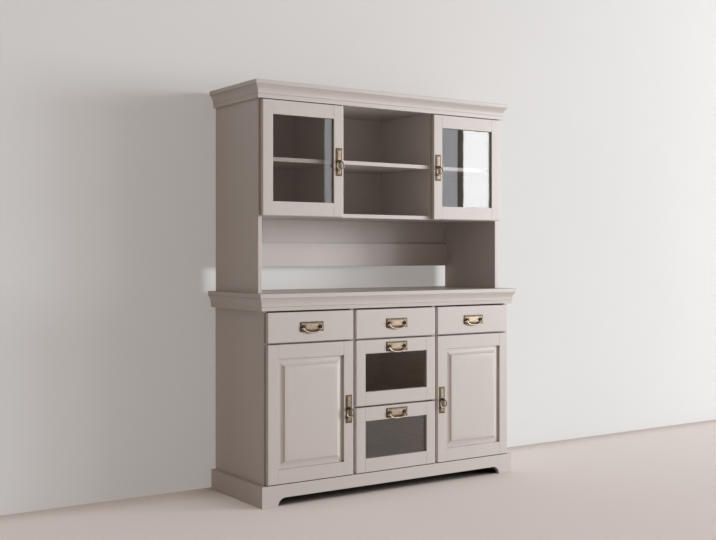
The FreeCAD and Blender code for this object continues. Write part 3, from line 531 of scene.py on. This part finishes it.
# %% Materials on the solids
FINISHES = [
    (door_pane, ("hutch_door_left_glass", "hutch_door_right_glass")),
    (drawer_pane, ("_glass",)),
    (antique_brass, ("_ring", "_bail", "_pull_plate")),
    (steel, ("hinge_cups", "hinge_arms", "shelf_pegs")),
    (hardwood, ("_box", "drawer_runners")),
    (paint_drawer_frames, ("glazed_drawer_upper_frame", "glazed_drawer_lower_frame")),
    (paint_base_frames, ("base_door_left_frame", "base_door_right_frame")),
    (paint_hutch_frames, ("hutch_door_left_frame", "hutch_door_right_frame")),
    (paint_lying, ("_front", "worktop", "hutch_top", "hutch_boards", "base_floor", "base_rails")),
    (paint_lying, ("loose_shelves", "plinth", "niche_back_rail")),
]


def finish_of(name):
    """The first finish in the list that has an ending of this name, or else upright paint."""
    fitting = (material for material, endings in FINISHES if name.endswith(endings))
    return next(fitting, paint_upright)


for name, solid in nodes.items():
    solid.data.materials.clear()
    solid.data.materials.append(finish_of(name))
print("dressed solids", len(nodes))

# %% [markdown]
# The finer pieces are surfaces over grids of points. They could be modelled by hand with many bevels. A
# formula is shorter and exact: each row of a grid is a closed outline, and the rows follow a section, a
# path or a turn. One helper skins any such grid. Another softens the corners of a section, because a real
# edge is never quite sharp, and a soft one catches the light.

# %% Helpers for surfaces
MOST_OF_A_SIDE = 0.45
TINY = 1e-9


def softened(corners, radius, steps=4, closed=False):
    """Replaces each corner of a line by a short parabola.

    It starts and ends a radius away from the corner, or 0.45 of the way to the neighbour if that is less.
    At a share s of the way it is (1 - s) squared of the start, 2 s (1 - s) of the corner and s squared
    of the end.
    """
    corners = np.asarray(corners, float)
    before = np.roll(corners, 1, axis=0) - corners
    after = np.roll(corners, -1, axis=0) - corners
    if not closed:
        before[0] = 0
        after[-1] = 0

    def near(side):
        """Points near the corners, towards one of their neighbours."""
        length = np.linalg.norm(side, axis=1, keepdims=True)
        step = np.minimum(radius, MOST_OF_A_SIDE * length) / np.maximum(length, TINY)
        return (corners + side * step)[:, None]

    share = np.linspace(0, 1, steps)[None, :, None]
    middle = corners[:, None]
    curve = (1 - share) ** 2 * near(before) + 2 * share * (1 - share) * middle + share ** 2 * near(after)
    return curve.reshape(-1, 2)


def points_at(x, y, z):
    """Points from three coordinates, which are arrays or single values that fit together."""
    return np.stack(np.broadcast_arrays(x, y, z), axis=-1)


def skin(grid, wear=0.0, ring=False):
    """A surface over a grid of points whose rows are closed outlines: its points, faces and wear.

    Four-sided faces join each row to the next. The first and last rows are capped, or joined to each
    other in a ring. Wear is one value for all points, or one for each row.
    """
    rows, columns = grid.shape[:2]
    numbers = np.arange(rows * columns).reshape(rows, columns)
    caps = [] if ring else [numbers[:1], numbers[-1:]]
    if ring:
        numbers = np.vstack([numbers, numbers[:1]])
    numbers = np.hstack([numbers, numbers[:, :1]])
    corners = (numbers[:-1, :-1], numbers[1:, :-1], numbers[1:, 1:], numbers[:-1, 1:])
    sides = np.stack(corners, axis=-1).reshape(-1, 4)
    return grid.reshape(-1, 3), [sides, *caps], np.broadcast_to(wear, rows).repeat(columns)


def joined(parts):
    """Several surfaces as one: their points, faces and wear, one after the other."""
    faces = []
    count = 0
    for points, part_faces, _ in parts:
        faces += [block + count for block in part_faces]
        count += len(points)
    all_points = np.vstack([points for points, _, _ in parts])
    return all_points, faces, np.concatenate([wear for _, _, wear in parts])

# %% [markdown]
# A surface becomes a piece of the cabinet when it is a mesh that moves with the right part of it. Its
# faces could be turned outwards by careful numbering, but Blender can work that out, so it does. Smooth
# shading with sharp folds keeps round stretches round and crisp edges crisp.

# %% Helpers for finished pieces
def new_object(name, data):
    """An object that shows some data, linked into the scene."""
    made = bpy.data.objects.new(name, data)
    bpy.context.scene.collection.objects.link(made)
    return made


def make_piece(name, surface, body, material, stands_for, sharp_degrees=38):
    """A finished piece: its faces turned outwards, smooth but for sharp folds, riding on a body."""
    points, faces, wear = surface
    mesh = bpy.data.meshes.new(name)
    mesh.from_pydata(points, [], [face for block in faces for face in block.tolist()])
    shell = bmesh.new()
    shell.from_mesh(mesh)
    bmesh.ops.recalc_face_normals(shell, faces=shell.faces)
    shell.to_mesh(mesh)
    shell.free()
    attribute = mesh.attributes.new("wear", "FLOAT", "POINT")
    attribute.data.foreach_set("value", wear.astype(np.float32))
    mesh.shade_smooth()
    mesh.set_sharp_from_angle(angle=math.radians(sharp_degrees))
    mesh.materials.append(material)
    made = new_object(name, mesh)
    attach(made, body)
    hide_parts(stands_for)
    print("piece", name, "has", len(points), "points")

# %% [markdown]
# A moulding covers the step between the carcass and the slab above it. Its section is a flat fillet, a
# small bead that steps out, a cove and a thin lip. A joiner cuts three lengths and mitres the corners. A
# curve with a bevel object could run round, but this moulding stands out less at the sides. So four copies
# of the section are joined: what stands out further also lies further round the corner.

# %% Mouldings under the worktop and the hutch top
BEAD_STEP = 2 * MM
BEAD_HIGH = 4 * MM
CROWN_LIP = 3 * MM
MOULDING_EDGE = 0.9 * MM
MOULDINGS = {
    "worktop_moulding": {"carcass": "base_sides", "foot": 24 * MM, "fillet": 18 * MM},
    "cornice_moulding": {"carcass": "hutch_sides", "foot": 22 * MM, "fillet": 20 * MM},
}


def arc(away, along, count):
    """Points of an arc that starts straight and ends a distance away and a distance along.

    Its radius is the sum of the squares of both, divided by twice the first. Returns both distances.
    """
    radius = (away ** 2 + along ** 2) / (2 * away)
    angle = np.linspace(0, math.asin(along / radius), count)
    return radius * (1 - np.cos(angle)), radius * np.sin(angle)


def moulding_section(foot, crown, fillet, high):
    """Corners of the section as projection and height. The cove is an arc that starts upright."""
    bead = foot + BEAD_STEP
    shoulder = fillet + BEAD_HIGH
    out, up = arc(crown - bead, high - CROWN_LIP - shoulder, count=9)
    lower = [(0, 0), (foot, 0), (foot, fillet), (bead, fillet)]
    cove = np.stack([bead + out, shoulder + up], axis=1)
    upper = [(crown, high), (0, high)]
    return np.vstack([lower, cove, upper])


def moulding(name, carcass, foot, fillet):
    """The three mitred lengths of one moulding as a single closed surface.

    Its four rows are the section at the wall, at the two front corners and at the wall again. At the
    sides the section stands out less than at the front, by the same amount all over.
    """
    low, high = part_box(name)
    side_low, side_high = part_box(carcass)
    crown_front = side_low.y - low.y
    crown_side = high.x - side_high.x
    section = moulding_section(foot, crown_front, fillet, high.z - low.z)
    front, up = softened(section, MOULDING_EDGE, closed=True).T
    half = side_high.x + np.maximum(front - (crown_front - crown_side), 0)
    ahead = side_low.y - front
    wall = np.full_like(front, high.y)
    x = np.stack([-half, -half, half, half])
    y = np.stack([wall, ahead, ahead, wall])
    return skin(points_at(x, y, low.z + up))


for name, form in MOULDINGS.items():
    make_piece(f"{name}_run", moulding(name, **form), "cabinet", paint_lying, name)

# %% [markdown]
# A raised panel sits with its tongue in the grooves of the door's frame. A flat land runs round it, a cove
# rises from the land to a small crisp step, and the field inside is flat. Bevels on a box could come near
# that, with little control. A stack of rectangles is simpler: each has an inset from the panel's edge and
# a depth behind the frame's face, and both follow one section.

# %% Raised panels of the base doors
TONGUE = 8 * MM
TONGUE_THICK = 6 * MM
RECESS = 10 * MM
LAND = 6 * MM
COVE = 26 * MM
FIELD_STEP = 1.5 * MM
PANEL_EDGE = 0.6 * MM
PANEL_SHARP = 12


def panel_section():
    """Inset from the panel's edge and depth behind the frame's face, from the tongue's back to the field.

    The cove is an arc that starts flat on the land and steepens up to the field's step.
    """
    start = TONGUE + LAND
    end = start + COVE
    rise, inwards = arc(RECESS - 2 * FIELD_STEP, COVE, count=10)
    edge = [(0, RECESS + TONGUE_THICK), (0, RECESS)]
    cove = np.stack([start + inwards, RECESS - rise], axis=1)
    field = [(end + FIELD_STEP, FIELD_STEP), (end + COVE, FIELD_STEP)]
    return softened(np.vstack([edge, cove, field]), PANEL_EDGE)


def raised_panel(name, face):
    """The panel's closed surface: rectangles of four corners, one for each point of the section."""
    low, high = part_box(name)
    inset, depth = panel_section().T
    left, right = low.x + inset, high.x - inset
    bottom, top = low.z + inset, high.z - inset
    x = np.stack([left, right, right, left], axis=1)
    z = np.stack([bottom, bottom, top, top], axis=1)
    return skin(points_at(x, (face + depth)[:, None], z))


for side in ("left", "right"):
    name = f"base_door_{side}_panel"
    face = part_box(f"base_door_{side}_frame")[0].y
    panel = raised_panel(name, face)
    make_piece(f"{name}_raised", panel, f"base_door_{side}", paint_upright, name, PANEL_SHARP)

# %% [markdown]
# The plates of the pulls are cast in relief: a rim, a groove that stays dark and a field that is rubbed.
# The eyes stand on turned stems. Bevels and insets on boxes and cylinders could give both, step by step.
# A section says it all at once: rounded rectangles follow it in a plate, and circles in a stem.

# %% Plates and stems
QUARTER = math.pi / 2
CORNER_STEPS = 5
RELIEF_EDGE = 0.5 * MM
SMALLEST_CORNER = 0.3 * MM
RUBBED_FROM = 0.75
RUBBED_OVER = 0.2


def full_turn(steps):
    """Evenly spaced angles round a circle."""
    return np.linspace(0, 4 * QUARTER, steps, endpoint=False)


def relief(centre, half_wide, half_high, corner, section, wear):
    """A plate in relief: rounded rectangles whose inset and height follow a section.

    A point is the centre of its corner's circle plus the circle's radius in the direction of its turn.
    Wear goes from its first value to its second towards the highest part of the section.
    """
    inset, height = softened(section, RELIEF_EDGE, steps=3).T[:, :, None]
    radius = np.maximum(corner - inset, SMALLEST_CORNER)
    starts = np.arange(4)[:, None] * QUARTER
    turn = (starts + np.linspace(0, QUARTER, CORNER_STEPS)).ravel()
    right = np.repeat([1, -1, -1, 1], CORNER_STEPS)
    up = np.repeat([1, 1, -1, -1], CORNER_STEPS)
    x = right * (half_wide - inset - radius) + radius * np.cos(turn)
    z = up * (half_high - inset - radius) + radius * np.sin(turn)
    tall = height[:, 0] / section[:, 1].max()
    dark, bright = wear
    rubbed = dark + (bright - dark) * np.clip((tall - RUBBED_FROM) / RUBBED_OVER, 0, 1)
    return skin(points_at(x, -height, z) + centre, rubbed)


def turned(centre, section, wear, around=24):
    """A piece turned about the y axis: one circle for each radius and distance ahead in the section."""
    radius, ahead = section.T[:, :, None]
    turn = full_turn(around)
    return skin(points_at(radius * np.cos(turn), -ahead, radius * np.sin(turn)) + centre, wear)

# %% [markdown]
# Eyes, balls and bent wire are round in section. Blender's torus, sphere and bevelled curve could make
# them, but here the wire swells and its wear changes along its length. As grids of circles all three take
# a few lines: circles carried round an eye, from pole to pole of a ball, or along a path.

# %% Eyes, balls and wire
WIRE_SIDES = 14
NEARLY_TO_THE_POLE = 0.985


def eye(centre, radius, thickness, wear, around=40):
    """A small ring about the x axis: a circle of the wire carried round a circle of the radius."""
    turn = full_turn(around)[:, None]
    roll = full_turn(WIRE_SIDES)
    out = radius + thickness * np.cos(roll)
    grid = points_at(thickness * np.sin(roll), out * np.cos(turn), out * np.sin(turn))
    return skin(grid + centre, wear, ring=True)


def ball(centre, radius, wear, around=16, levels=9):
    """A sphere about the x axis: circles from pole to pole, with a tiny cap at each pole."""
    rise = np.linspace(-1, 1, levels)[:, None] * NEARLY_TO_THE_POLE * QUARTER
    turn = full_turn(around)
    out = radius * np.cos(rise)
    grid = points_at(radius * np.sin(rise), out * np.cos(turn), out * np.sin(turn))
    return skin(grid + centre, wear)


def wire(pivot, path, radius, wear, ring=False):
    """A round wire along a flat path in x and z: circles square to the path, each with its own radius."""
    if ring:
        ahead = np.roll(path, -1, axis=0) - np.roll(path, 1, axis=0)
    else:
        ahead = np.gradient(path, axis=0)
    ahead_x, ahead_z = (ahead / np.linalg.norm(ahead, axis=1, keepdims=True)).T[:, :, None]
    path_x, path_z = path.T[:, :, None]
    roll = full_turn(WIRE_SIDES)
    side = radius[:, None] * np.cos(roll)
    grid = points_at(path_x - side * ahead_z, radius[:, None] * np.sin(roll), path_z + side * ahead_x)
    return skin(grid + pivot, wear, ring)

# %% [markdown]
# Each drawer has a wide plate with a raised field in its middle and two eyes for the bail's pins. It could
# be one mesh with all its edges joined. Separate closed forms that overlap look the same, because casting
# hides the joints too, and each stays a short formula. The plate's size is read from the solid's box.

# %% Bail plates
# The pairs of a section are insets from the edge and heights above the rear face. Those of a stem are radii
# and distances ahead of the rear face.
PLATE_CORNER = 2.5 * MM
PLATE_SECTION = MM * np.array([(0, 0), (0, 1.3), (0.6, 1.7), (6.4, 1.7), (7.4, 2.4), (10, 2.4)])
BAIL_PLATE_WEAR = (0.12, 0.30)
FIELD_HALF_WIDE = 30 * MM
FIELD_HALF_HIGH = 12 * MM
FIELD_CORNER = 3 * MM
FIELD_SECTION = MM * np.array([(0, 1.5), (0, 2.3), (1.2, 3.0), (4, 3.0)])
FIELD_WEAR = (0.15, 0.44)
POST_AXIS = 43 * MM
BAIL_STEM = MM * np.array([(8.6, 1.5), (8.2, 2.6), (6.4, 3.4), (3.6, 3.8), (2.6, 4.4), (2.2, 5.6)])
STEM_WEAR = -0.3
EYE_RADIUS = 3.9 * MM
EYE_THICKNESS = 1.45 * MM
EYE_WEAR = -0.2
SIDES = (-1, 1)


def plate_frame(node_name):
    """The middle of a plate's rear face, half the plate's width and half its height."""
    low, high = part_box(node_name)
    middle, half = (low + high) / 2, (high - low) / 2
    return np.array([middle.x, high.y, middle.z]), half.x, half.z


def bail_plate(node_name, pivot):
    """Plate, raised middle field, and two eyes on stems."""
    centre, half_wide, half_high = plate_frame(node_name)
    parts = [
        relief(centre, half_wide, half_high, PLATE_CORNER, PLATE_SECTION, BAIL_PLATE_WEAR),
        relief(centre, FIELD_HALF_WIDE, FIELD_HALF_HIGH, FIELD_CORNER, FIELD_SECTION, FIELD_WEAR),
    ]
    for side in SIDES:
        x = centre[0] + side * POST_AXIS
        parts.append(turned((x, centre[1], pivot[2]), BAIL_STEM, STEM_WEAR))
        parts.append(eye((x, pivot[1], pivot[2]), EYE_RADIUS, EYE_THICKNESS, EYE_WEAR))
    return joined(parts)


_, half_wide, half_high = plate_frame("drawer_left_pull_plate")
print("bail plate", round(2 * half_wide / MM), "by", round(2 * half_high / MM), "mm")

# %% [markdown]
# A bail is a bow of wire. Its two straight pins point inwards through the eyes, so that it can swing. Half
# an ellipse could be its shape, but the real bow is fuller, so it is a superellipse: an ellipse with
# squarer shoulders. It is thicker in the middle, where hands have rubbed it bright.

# %% Bails
BOW_WIDE = 48 * MM
BOW_DROP = 26 * MM
BOW_POWER = 2.2
BOW_STEPS = 49
BOW_RADIUS = 2.5 * MM
BOW_SWELL = 1.2 * MM
PIN_END = 38 * MM
PIN_START = BOW_WIDE - 1.2 * MM
PIN_STEPS = 4
PIN_RADIUS = 2.0 * MM
RUBBED_BOW = 1.1 * MM
BAIL_WEAR = 0.35
BAIL_RUBBED = 0.65
BALL_RADIUS = 2.7 * MM
BALL_WEAR = 0.6
WIRE_SHARP = 60


def bail_bow(pivot):
    """The bow that hangs from its axis, its two pins, and the balls that keep the pins in the eyes.

    The bow is half a superellipse: cosine and sine of a turn, each raised to 2 / BOW_POWER.
    """
    turn = np.linspace(0, 2 * QUARTER, BOW_STEPS)
    cosine, sine = np.cos(turn), np.sin(turn)
    power = 2 / BOW_POWER
    bow = np.stack([np.sign(cosine) * np.abs(cosine) ** power * BOW_WIDE, -sine ** power * BOW_DROP], axis=1)
    pin = np.stack([np.linspace(PIN_END, PIN_START, PIN_STEPS), np.zeros(PIN_STEPS)], axis=1)
    path = np.vstack([pin, bow, pin[::-1] * (-1, 1)])
    radius = np.pad(BOW_RADIUS + BOW_SWELL * sine ** 2, PIN_STEPS, constant_values=PIN_RADIUS)
    rubbed = np.clip((radius - PIN_RADIUS) / RUBBED_BOW, 0, 1)
    parts = [wire(pivot, path, radius, BAIL_WEAR + BAIL_RUBBED * rubbed)]
    parts += [ball(pivot + (side * PIN_END, 0, 0), BALL_RADIUS, BALL_WEAR) for side in SIDES]
    return joined(parts)


DRAWERS = ["drawer_left", "drawer_middle", "drawer_right", "glazed_drawer_upper", "glazed_drawer_lower"]
for drawer in DRAWERS:
    pivot = np.array(joints[f"{drawer}_bail_swing"]["pos_m"])
    name = f"{drawer}_pull_plate"
    plate = bail_plate(name, pivot)
    make_piece(f"{drawer}_plate_relief", plate, drawer, antique_brass, name)
    bail = f"{drawer}_bail"
    make_piece(f"{bail}_bow", bail_bow(pivot), bail, antique_brass, bail, WIRE_SHARP)

# %% [markdown]
# Each door has a tall plate with raised strips above and below one eye, for a ring. The plate could have a
# function of its own. It has the same rim and groove as those of the drawers, so it is made by the same
# helpers with other sizes.

# %% Ring plates
RING_PLATE_WEAR = (0.12, 0.24)
STRIP_SECTION = MM * np.array([(0, 1.5), (0, 2.2), (1.0, 2.8), (3, 2.8)])
STRIP_HALF_WIDE = 7.5 * MM
STRIP_CORNER = 2.5 * MM
UPPER_RISE = 31 * MM
UPPER_HALF_HIGH = 24 * MM
UPPER_WEAR = (0.1, 0.34)
LOWER_RISE = -46 * MM
LOWER_HALF_HIGH = 9 * MM
LOWER_WEAR = (0.1, 0.3)
RING_STEM = MM * np.array([(7.6, 1.5), (6.8, 2.8), (4.2, 3.4), (3.2, 4.2)])
RING_EYE_RADIUS = 5.1 * MM
RING_EYE_THICKNESS = 1.3 * MM


def ring_plate(node_name, pivot):
    """Tall plate, raised strips above and below the ring's eye, and the eye on its stem."""
    centre, half_wide, half_high = plate_frame(node_name)
    upper = centre + (0, 0, UPPER_RISE)
    lower = centre + (0, 0, LOWER_RISE)
    stem = (centre[0], centre[1], pivot[2])
    return joined([
        relief(centre, half_wide, half_high, PLATE_CORNER, PLATE_SECTION, RING_PLATE_WEAR),
        relief(upper, STRIP_HALF_WIDE, UPPER_HALF_HIGH, STRIP_CORNER, STRIP_SECTION, UPPER_WEAR),
        relief(lower, STRIP_HALF_WIDE, LOWER_HALF_HIGH, STRIP_CORNER, STRIP_SECTION, LOWER_WEAR),
        turned(stem, RING_STEM, STEM_WEAR),
        eye(pivot, RING_EYE_RADIUS, RING_EYE_THICKNESS, EYE_WEAR),
    ])


_, half_wide, half_high = plate_frame("base_door_left_pull_plate")
print("ring plate", round(2 * half_wide / MM), "by", round(2 * half_high / MM), "mm")

# %% [markdown]
# The ring hangs in its eye and swings with the finger that lifts it. A plain torus could be the ring, but
# its wire is thicker at the bottom, where it is rubbed bright. The helper for wire makes it from a circle
# below its axis, with a radius and a wear that grow on the way down.

# %% Rings
RING_RADIUS = 19.25 * MM
RING_STEPS = 72
RING_THICKNESS = 2.6 * MM
RING_SWELL = 0.8 * MM
RING_WEAR = 0.12
RING_RUBBED = 0.45


def hanging_ring(pivot):
    """A circle below its axis. The wire's radius and wear grow with the way down from its top."""
    turn = full_turn(RING_STEPS)
    path = RING_RADIUS * np.stack([np.sin(turn), np.cos(turn) - 1], axis=1)
    down = (1 - np.cos(turn)) / 2
    radius = RING_THICKNESS + RING_SWELL * down
    return wire(pivot, path, radius, RING_WEAR + RING_RUBBED * down, ring=True)


DOORS = [f"{row}_door_{side}" for row in ("base", "hutch") for side in ("left", "right")]
for door in DOORS:
    pivot = np.array(joints[f"{door}_ring_swing"]["pos_m"])
    name = f"{door}_pull_plate"
    plate = ring_plate(name, pivot)
    make_piece(f"{door}_plate_relief", plate, door, antique_brass, name)
    ring = f"{door}_ring"
    make_piece(f"{ring}_wire", hanging_ring(pivot), ring, antique_brass, ring, WIRE_SHARP)

# %% [markdown]
# The cabinet stands on a pale floor before a pale wall, which are not part of it. More lamps could make
# them pale, but would bleach the paint. So both glow a little where the camera or a mirror sees them, and
# this glow lights nothing. Clouds of a slightly darker tone keep them from looking like paper.

# %% Helpers for the studio
GLOW_SHARE = 0.35
CLOUD_SHADE = 0.94
ROOM_HALF = 9.0
across = ROOM_HALF * np.array([-1, 1, 1, -1])


def clouded(tree, place, colour, clouds_per_metre):
    """A colour that drifts to a slightly darker one and back."""
    darker = tuple(value * CLOUD_SHADE for value in colour[:3]) + (1,)
    return mixed(tree, noise(tree, place, clouds_per_metre), darker, colour)


def glowing(tree, tone, glow, share, path):
    """A matt shader that looks brighter to the camera and in mirrors than it lights its surroundings."""
    seen = arithmetic(tree, "MAXIMUM", path["Is Camera Ray"], path["Is Glossy Ray"])
    seen = arithmetic(tree, "MAXIMUM", seen, path["Is Transmission Ray"])
    matt = add(tree, "ShaderNodeBsdfDiffuse", {"Color": tone}).outputs[0]
    shine = add(tree, "ShaderNodeEmission", {"Color": glow}).outputs[0]
    return blended(tree, arithmetic(tree, "MULTIPLY", seen, share), matt, shine)


def stage_sheet(name, corners, material):
    """A flat four-cornered surface that belongs to the studio and not to the cabinet."""
    mesh = bpy.data.meshes.new(name)
    mesh.from_pydata(corners, [], [range(len(corners))])
    mesh.materials.append(material)
    made = new_object(name, mesh)
    print("stage", name)

# %% [markdown]
# The floor carries the cabinet's shadow. A lamp right above would make that shadow, and light the top too
# much. So the floor itself is darker where the cabinet leaves little open space above it. Panes near the
# floor mirror it, and a real room is dim further out, so mirrors see a dim floor there.

# %% Floor
PALE_FLOOR = (0.82, 0.775, 0.745, 1)
FLOOR_GLOW = (0.76, 0.69, 0.65, 1)
FLOOR_SHADE = (0.08, 0.068, 0.06, 1)
FAR_FLOOR = (0.20, 0.17, 0.15, 1)
FLOOR_CLOUDS_PER_METRE = 1.5
FLOOR_REACH = 0.3
UNDER_THE_CABINET = (0.36, 0.18)
CLEAR_OF_THE_CABINET = (0.3, 0.9)
FAR_OUT = (-2.4, -3.2)


def floor_material():
    """A pale floor that is dark under the cabinet and, in mirrors only, far out in the room."""
    material, tree, output = new_material("pale_floor")
    place = object_place(tree)
    path = add(tree, "ShaderNodeLightPath").outputs
    above = openness(tree, FLOOR_REACH)
    tone = clouded(tree, place, PALE_FLOOR, FLOOR_CLOUDS_PER_METRE)
    tone = mixed(tree, ramped(tree, above, *UNDER_THE_CABINET), tone, FLOOR_SHADE)
    share = arithmetic(tree, "MULTIPLY", ramped(tree, above, *CLEAR_OF_THE_CABINET), GLOW_SHARE)
    surface = glowing(tree, tone, FLOOR_GLOW, share, path)
    depth = add(tree, "ShaderNodeSeparateXYZ", {0: place}).outputs["Y"]
    hidden = arithmetic(tree, "MULTIPLY", ramped(tree, depth, *FAR_OUT), path["Is Glossy Ray"])
    dim = add(tree, "ShaderNodeBsdfDiffuse", {"Color": FAR_FLOOR}).outputs[0]
    tree.links.new(blended(tree, hidden, surface, dim), output.inputs["Surface"])
    return material


along = ROOM_HALF * np.array([-1, -1, 1, 1])
stage_sheet("studio_floor", points_at(across, along, 0.0), floor_material())

# %% [markdown]
# The wall stands close behind the cabinet. A plain sheet would hide the cabinet's back and keep light from
# it. The wall could be taken away for views from behind, but a script can't know the view. So its material
# is clear from behind, and clear to all short rays but the camera's.

# %% Wall
WALL_GAP = 34 * MM
ROOM_HIGH = 6.0
PALE_WALL = (0.745, 0.765, 0.775, 1)
WALL_GLOW = (0.66, 0.635, 0.615, 1)
WALL_CLOUDS_PER_METRE = 1.2
WALL_OPENS_WITHIN = 0.15


def wall_material():
    """A pale wall that is clear from behind, and clear to short rays other than the camera's."""
    material, tree, output = new_material("pale_wall")
    path = add(tree, "ShaderNodeLightPath").outputs
    tone = clouded(tree, object_place(tree), PALE_WALL, WALL_CLOUDS_PER_METRE)
    surface = glowing(tree, tone, WALL_GLOW, GLOW_SHARE, path)
    near = arithmetic(tree, "LESS_THAN", path["Ray Length"], WALL_OPENS_WITHIN)
    near = arithmetic(tree, "SUBTRACT", near, path["Is Camera Ray"])
    behind = add(tree, "ShaderNodeNewGeometry").outputs["Backfacing"]
    clear = add(tree, "ShaderNodeBsdfTransparent").outputs[0]
    opened = blended(tree, arithmetic(tree, "MAXIMUM", behind, near), surface, clear)
    tree.links.new(opened, output.inputs["Surface"])
    return material


upwards = ROOM_HIGH * np.array([0, 0, 1, 1])
stage_sheet("studio_wall", points_at(across, cad_high.y + WALL_GAP, upwards), wall_material())

# %% [markdown]
# The light comes from the right, as through large windows. One lamp could light the room, but the doors'
# panes mirror what stands there, so there are four panels side by side: a bright one for the shading and
# three dimmer ones for the panes. Each is placed by its bearings, the angles between its two edges and the
# straight look at the cabinet's front. A warm glow from all around fills the shadows.

# %% Lights and world
LAMP_DISTANCE = 12.0
DAYLIGHT = (0.985, 1.0, 1.015)
SKYLIGHT = (0.92, 0.97, 1.05)
LIGHT_PANELS = {
    "key_panel": {"bearings": (54, 66), "heights": (0.3, 3.7), "radiance": 34.0, "colour": DAYLIGHT},
    "window_panel": {"bearings": (40.9, 54), "heights": (0.4, 4.8), "radiance": 9.4, "colour": DAYLIGHT},
    "fill_panel": {"bearings": (34, 40.45), "heights": (0.5, 4.0), "radiance": 2.6, "colour": SKYLIGHT},
    "low_panel": {"bearings": (30.5, 34), "heights": (0.5, 4.0), "radiance": 2.2, "colour": SKYLIGHT},
}
AIR_COLOUR = (1.0, 0.80, 0.685, 1)
AIR_STRENGTH = 0.32


def panel_light(name, bearings, heights, radiance, colour):
    """An upright rectangle of light between two bearings in degrees and two heights, facing the cabinet.

    Its power is its radiance times its area times pi.
    """
    near, far = np.radians(bearings)
    low, high = heights
    bearing, half = (near + far) / 2, (far - near) / 2
    lamp = bpy.data.lights.new(name, "AREA")
    lamp.shape = "RECTANGLE"
    lamp.size = 2 * LAMP_DISTANCE * math.sin(half)
    lamp.size_y = high - low
    lamp.energy = math.pi * radiance * lamp.size * lamp.size_y
    lamp.color = colour
    made = new_object(name, lamp)
    away = LAMP_DISTANCE * math.cos(half)
    made.location = (away * math.sin(bearing), -away * math.cos(bearing), (low + high) / 2)
    made.rotation_euler = (QUARTER, 0, bearing)


for name, panel in LIGHT_PANELS.items():
    panel_light(name, **panel)
world = bpy.data.worlds.new("studio_air")
bpy.context.scene.world = world
world.use_nodes = True
air = world.node_tree.nodes["Background"].inputs
air["Color"].default_value = AIR_COLOUR
air["Strength"].default_value = AIR_STRENGTH
print("light panels", list(LIGHT_PANELS))

# %% [markdown]
# The camera stands to the left of the cabinet at about chest height and looks level, so upright edges stay
# upright in the picture. Tilting it down would show more floor but make the edges lean. A small shift of
# the lens shows more below the horizon instead. Place, turn and focal length were fitted to the photo.

# %% Camera
CAMERA_PLACE = (-2.9619, -4.2796, 1.0915)
CAMERA_TURN = 0.59598
FOCAL_PIXELS = 1076.53
PHOTO_WIDE = 716
HORIZON_SHIFT = -0.0216
SENSOR = 36.0

lens = bpy.data.cameras.new("photo_camera")
lens.sensor_width = SENSOR
lens.lens = FOCAL_PIXELS / PHOTO_WIDE * SENSOR
lens.shift_y = HORIZON_SHIFT
camera = new_object("photo_camera", lens)
camera.location = CAMERA_PLACE
camera.rotation_euler = (QUARTER, 0, -CAMERA_TURN)
bpy.context.scene.camera = camera
bpy.context.scene.view_settings.view_transform = "Standard"
print("focal length", round(lens.lens, 1), "mm")
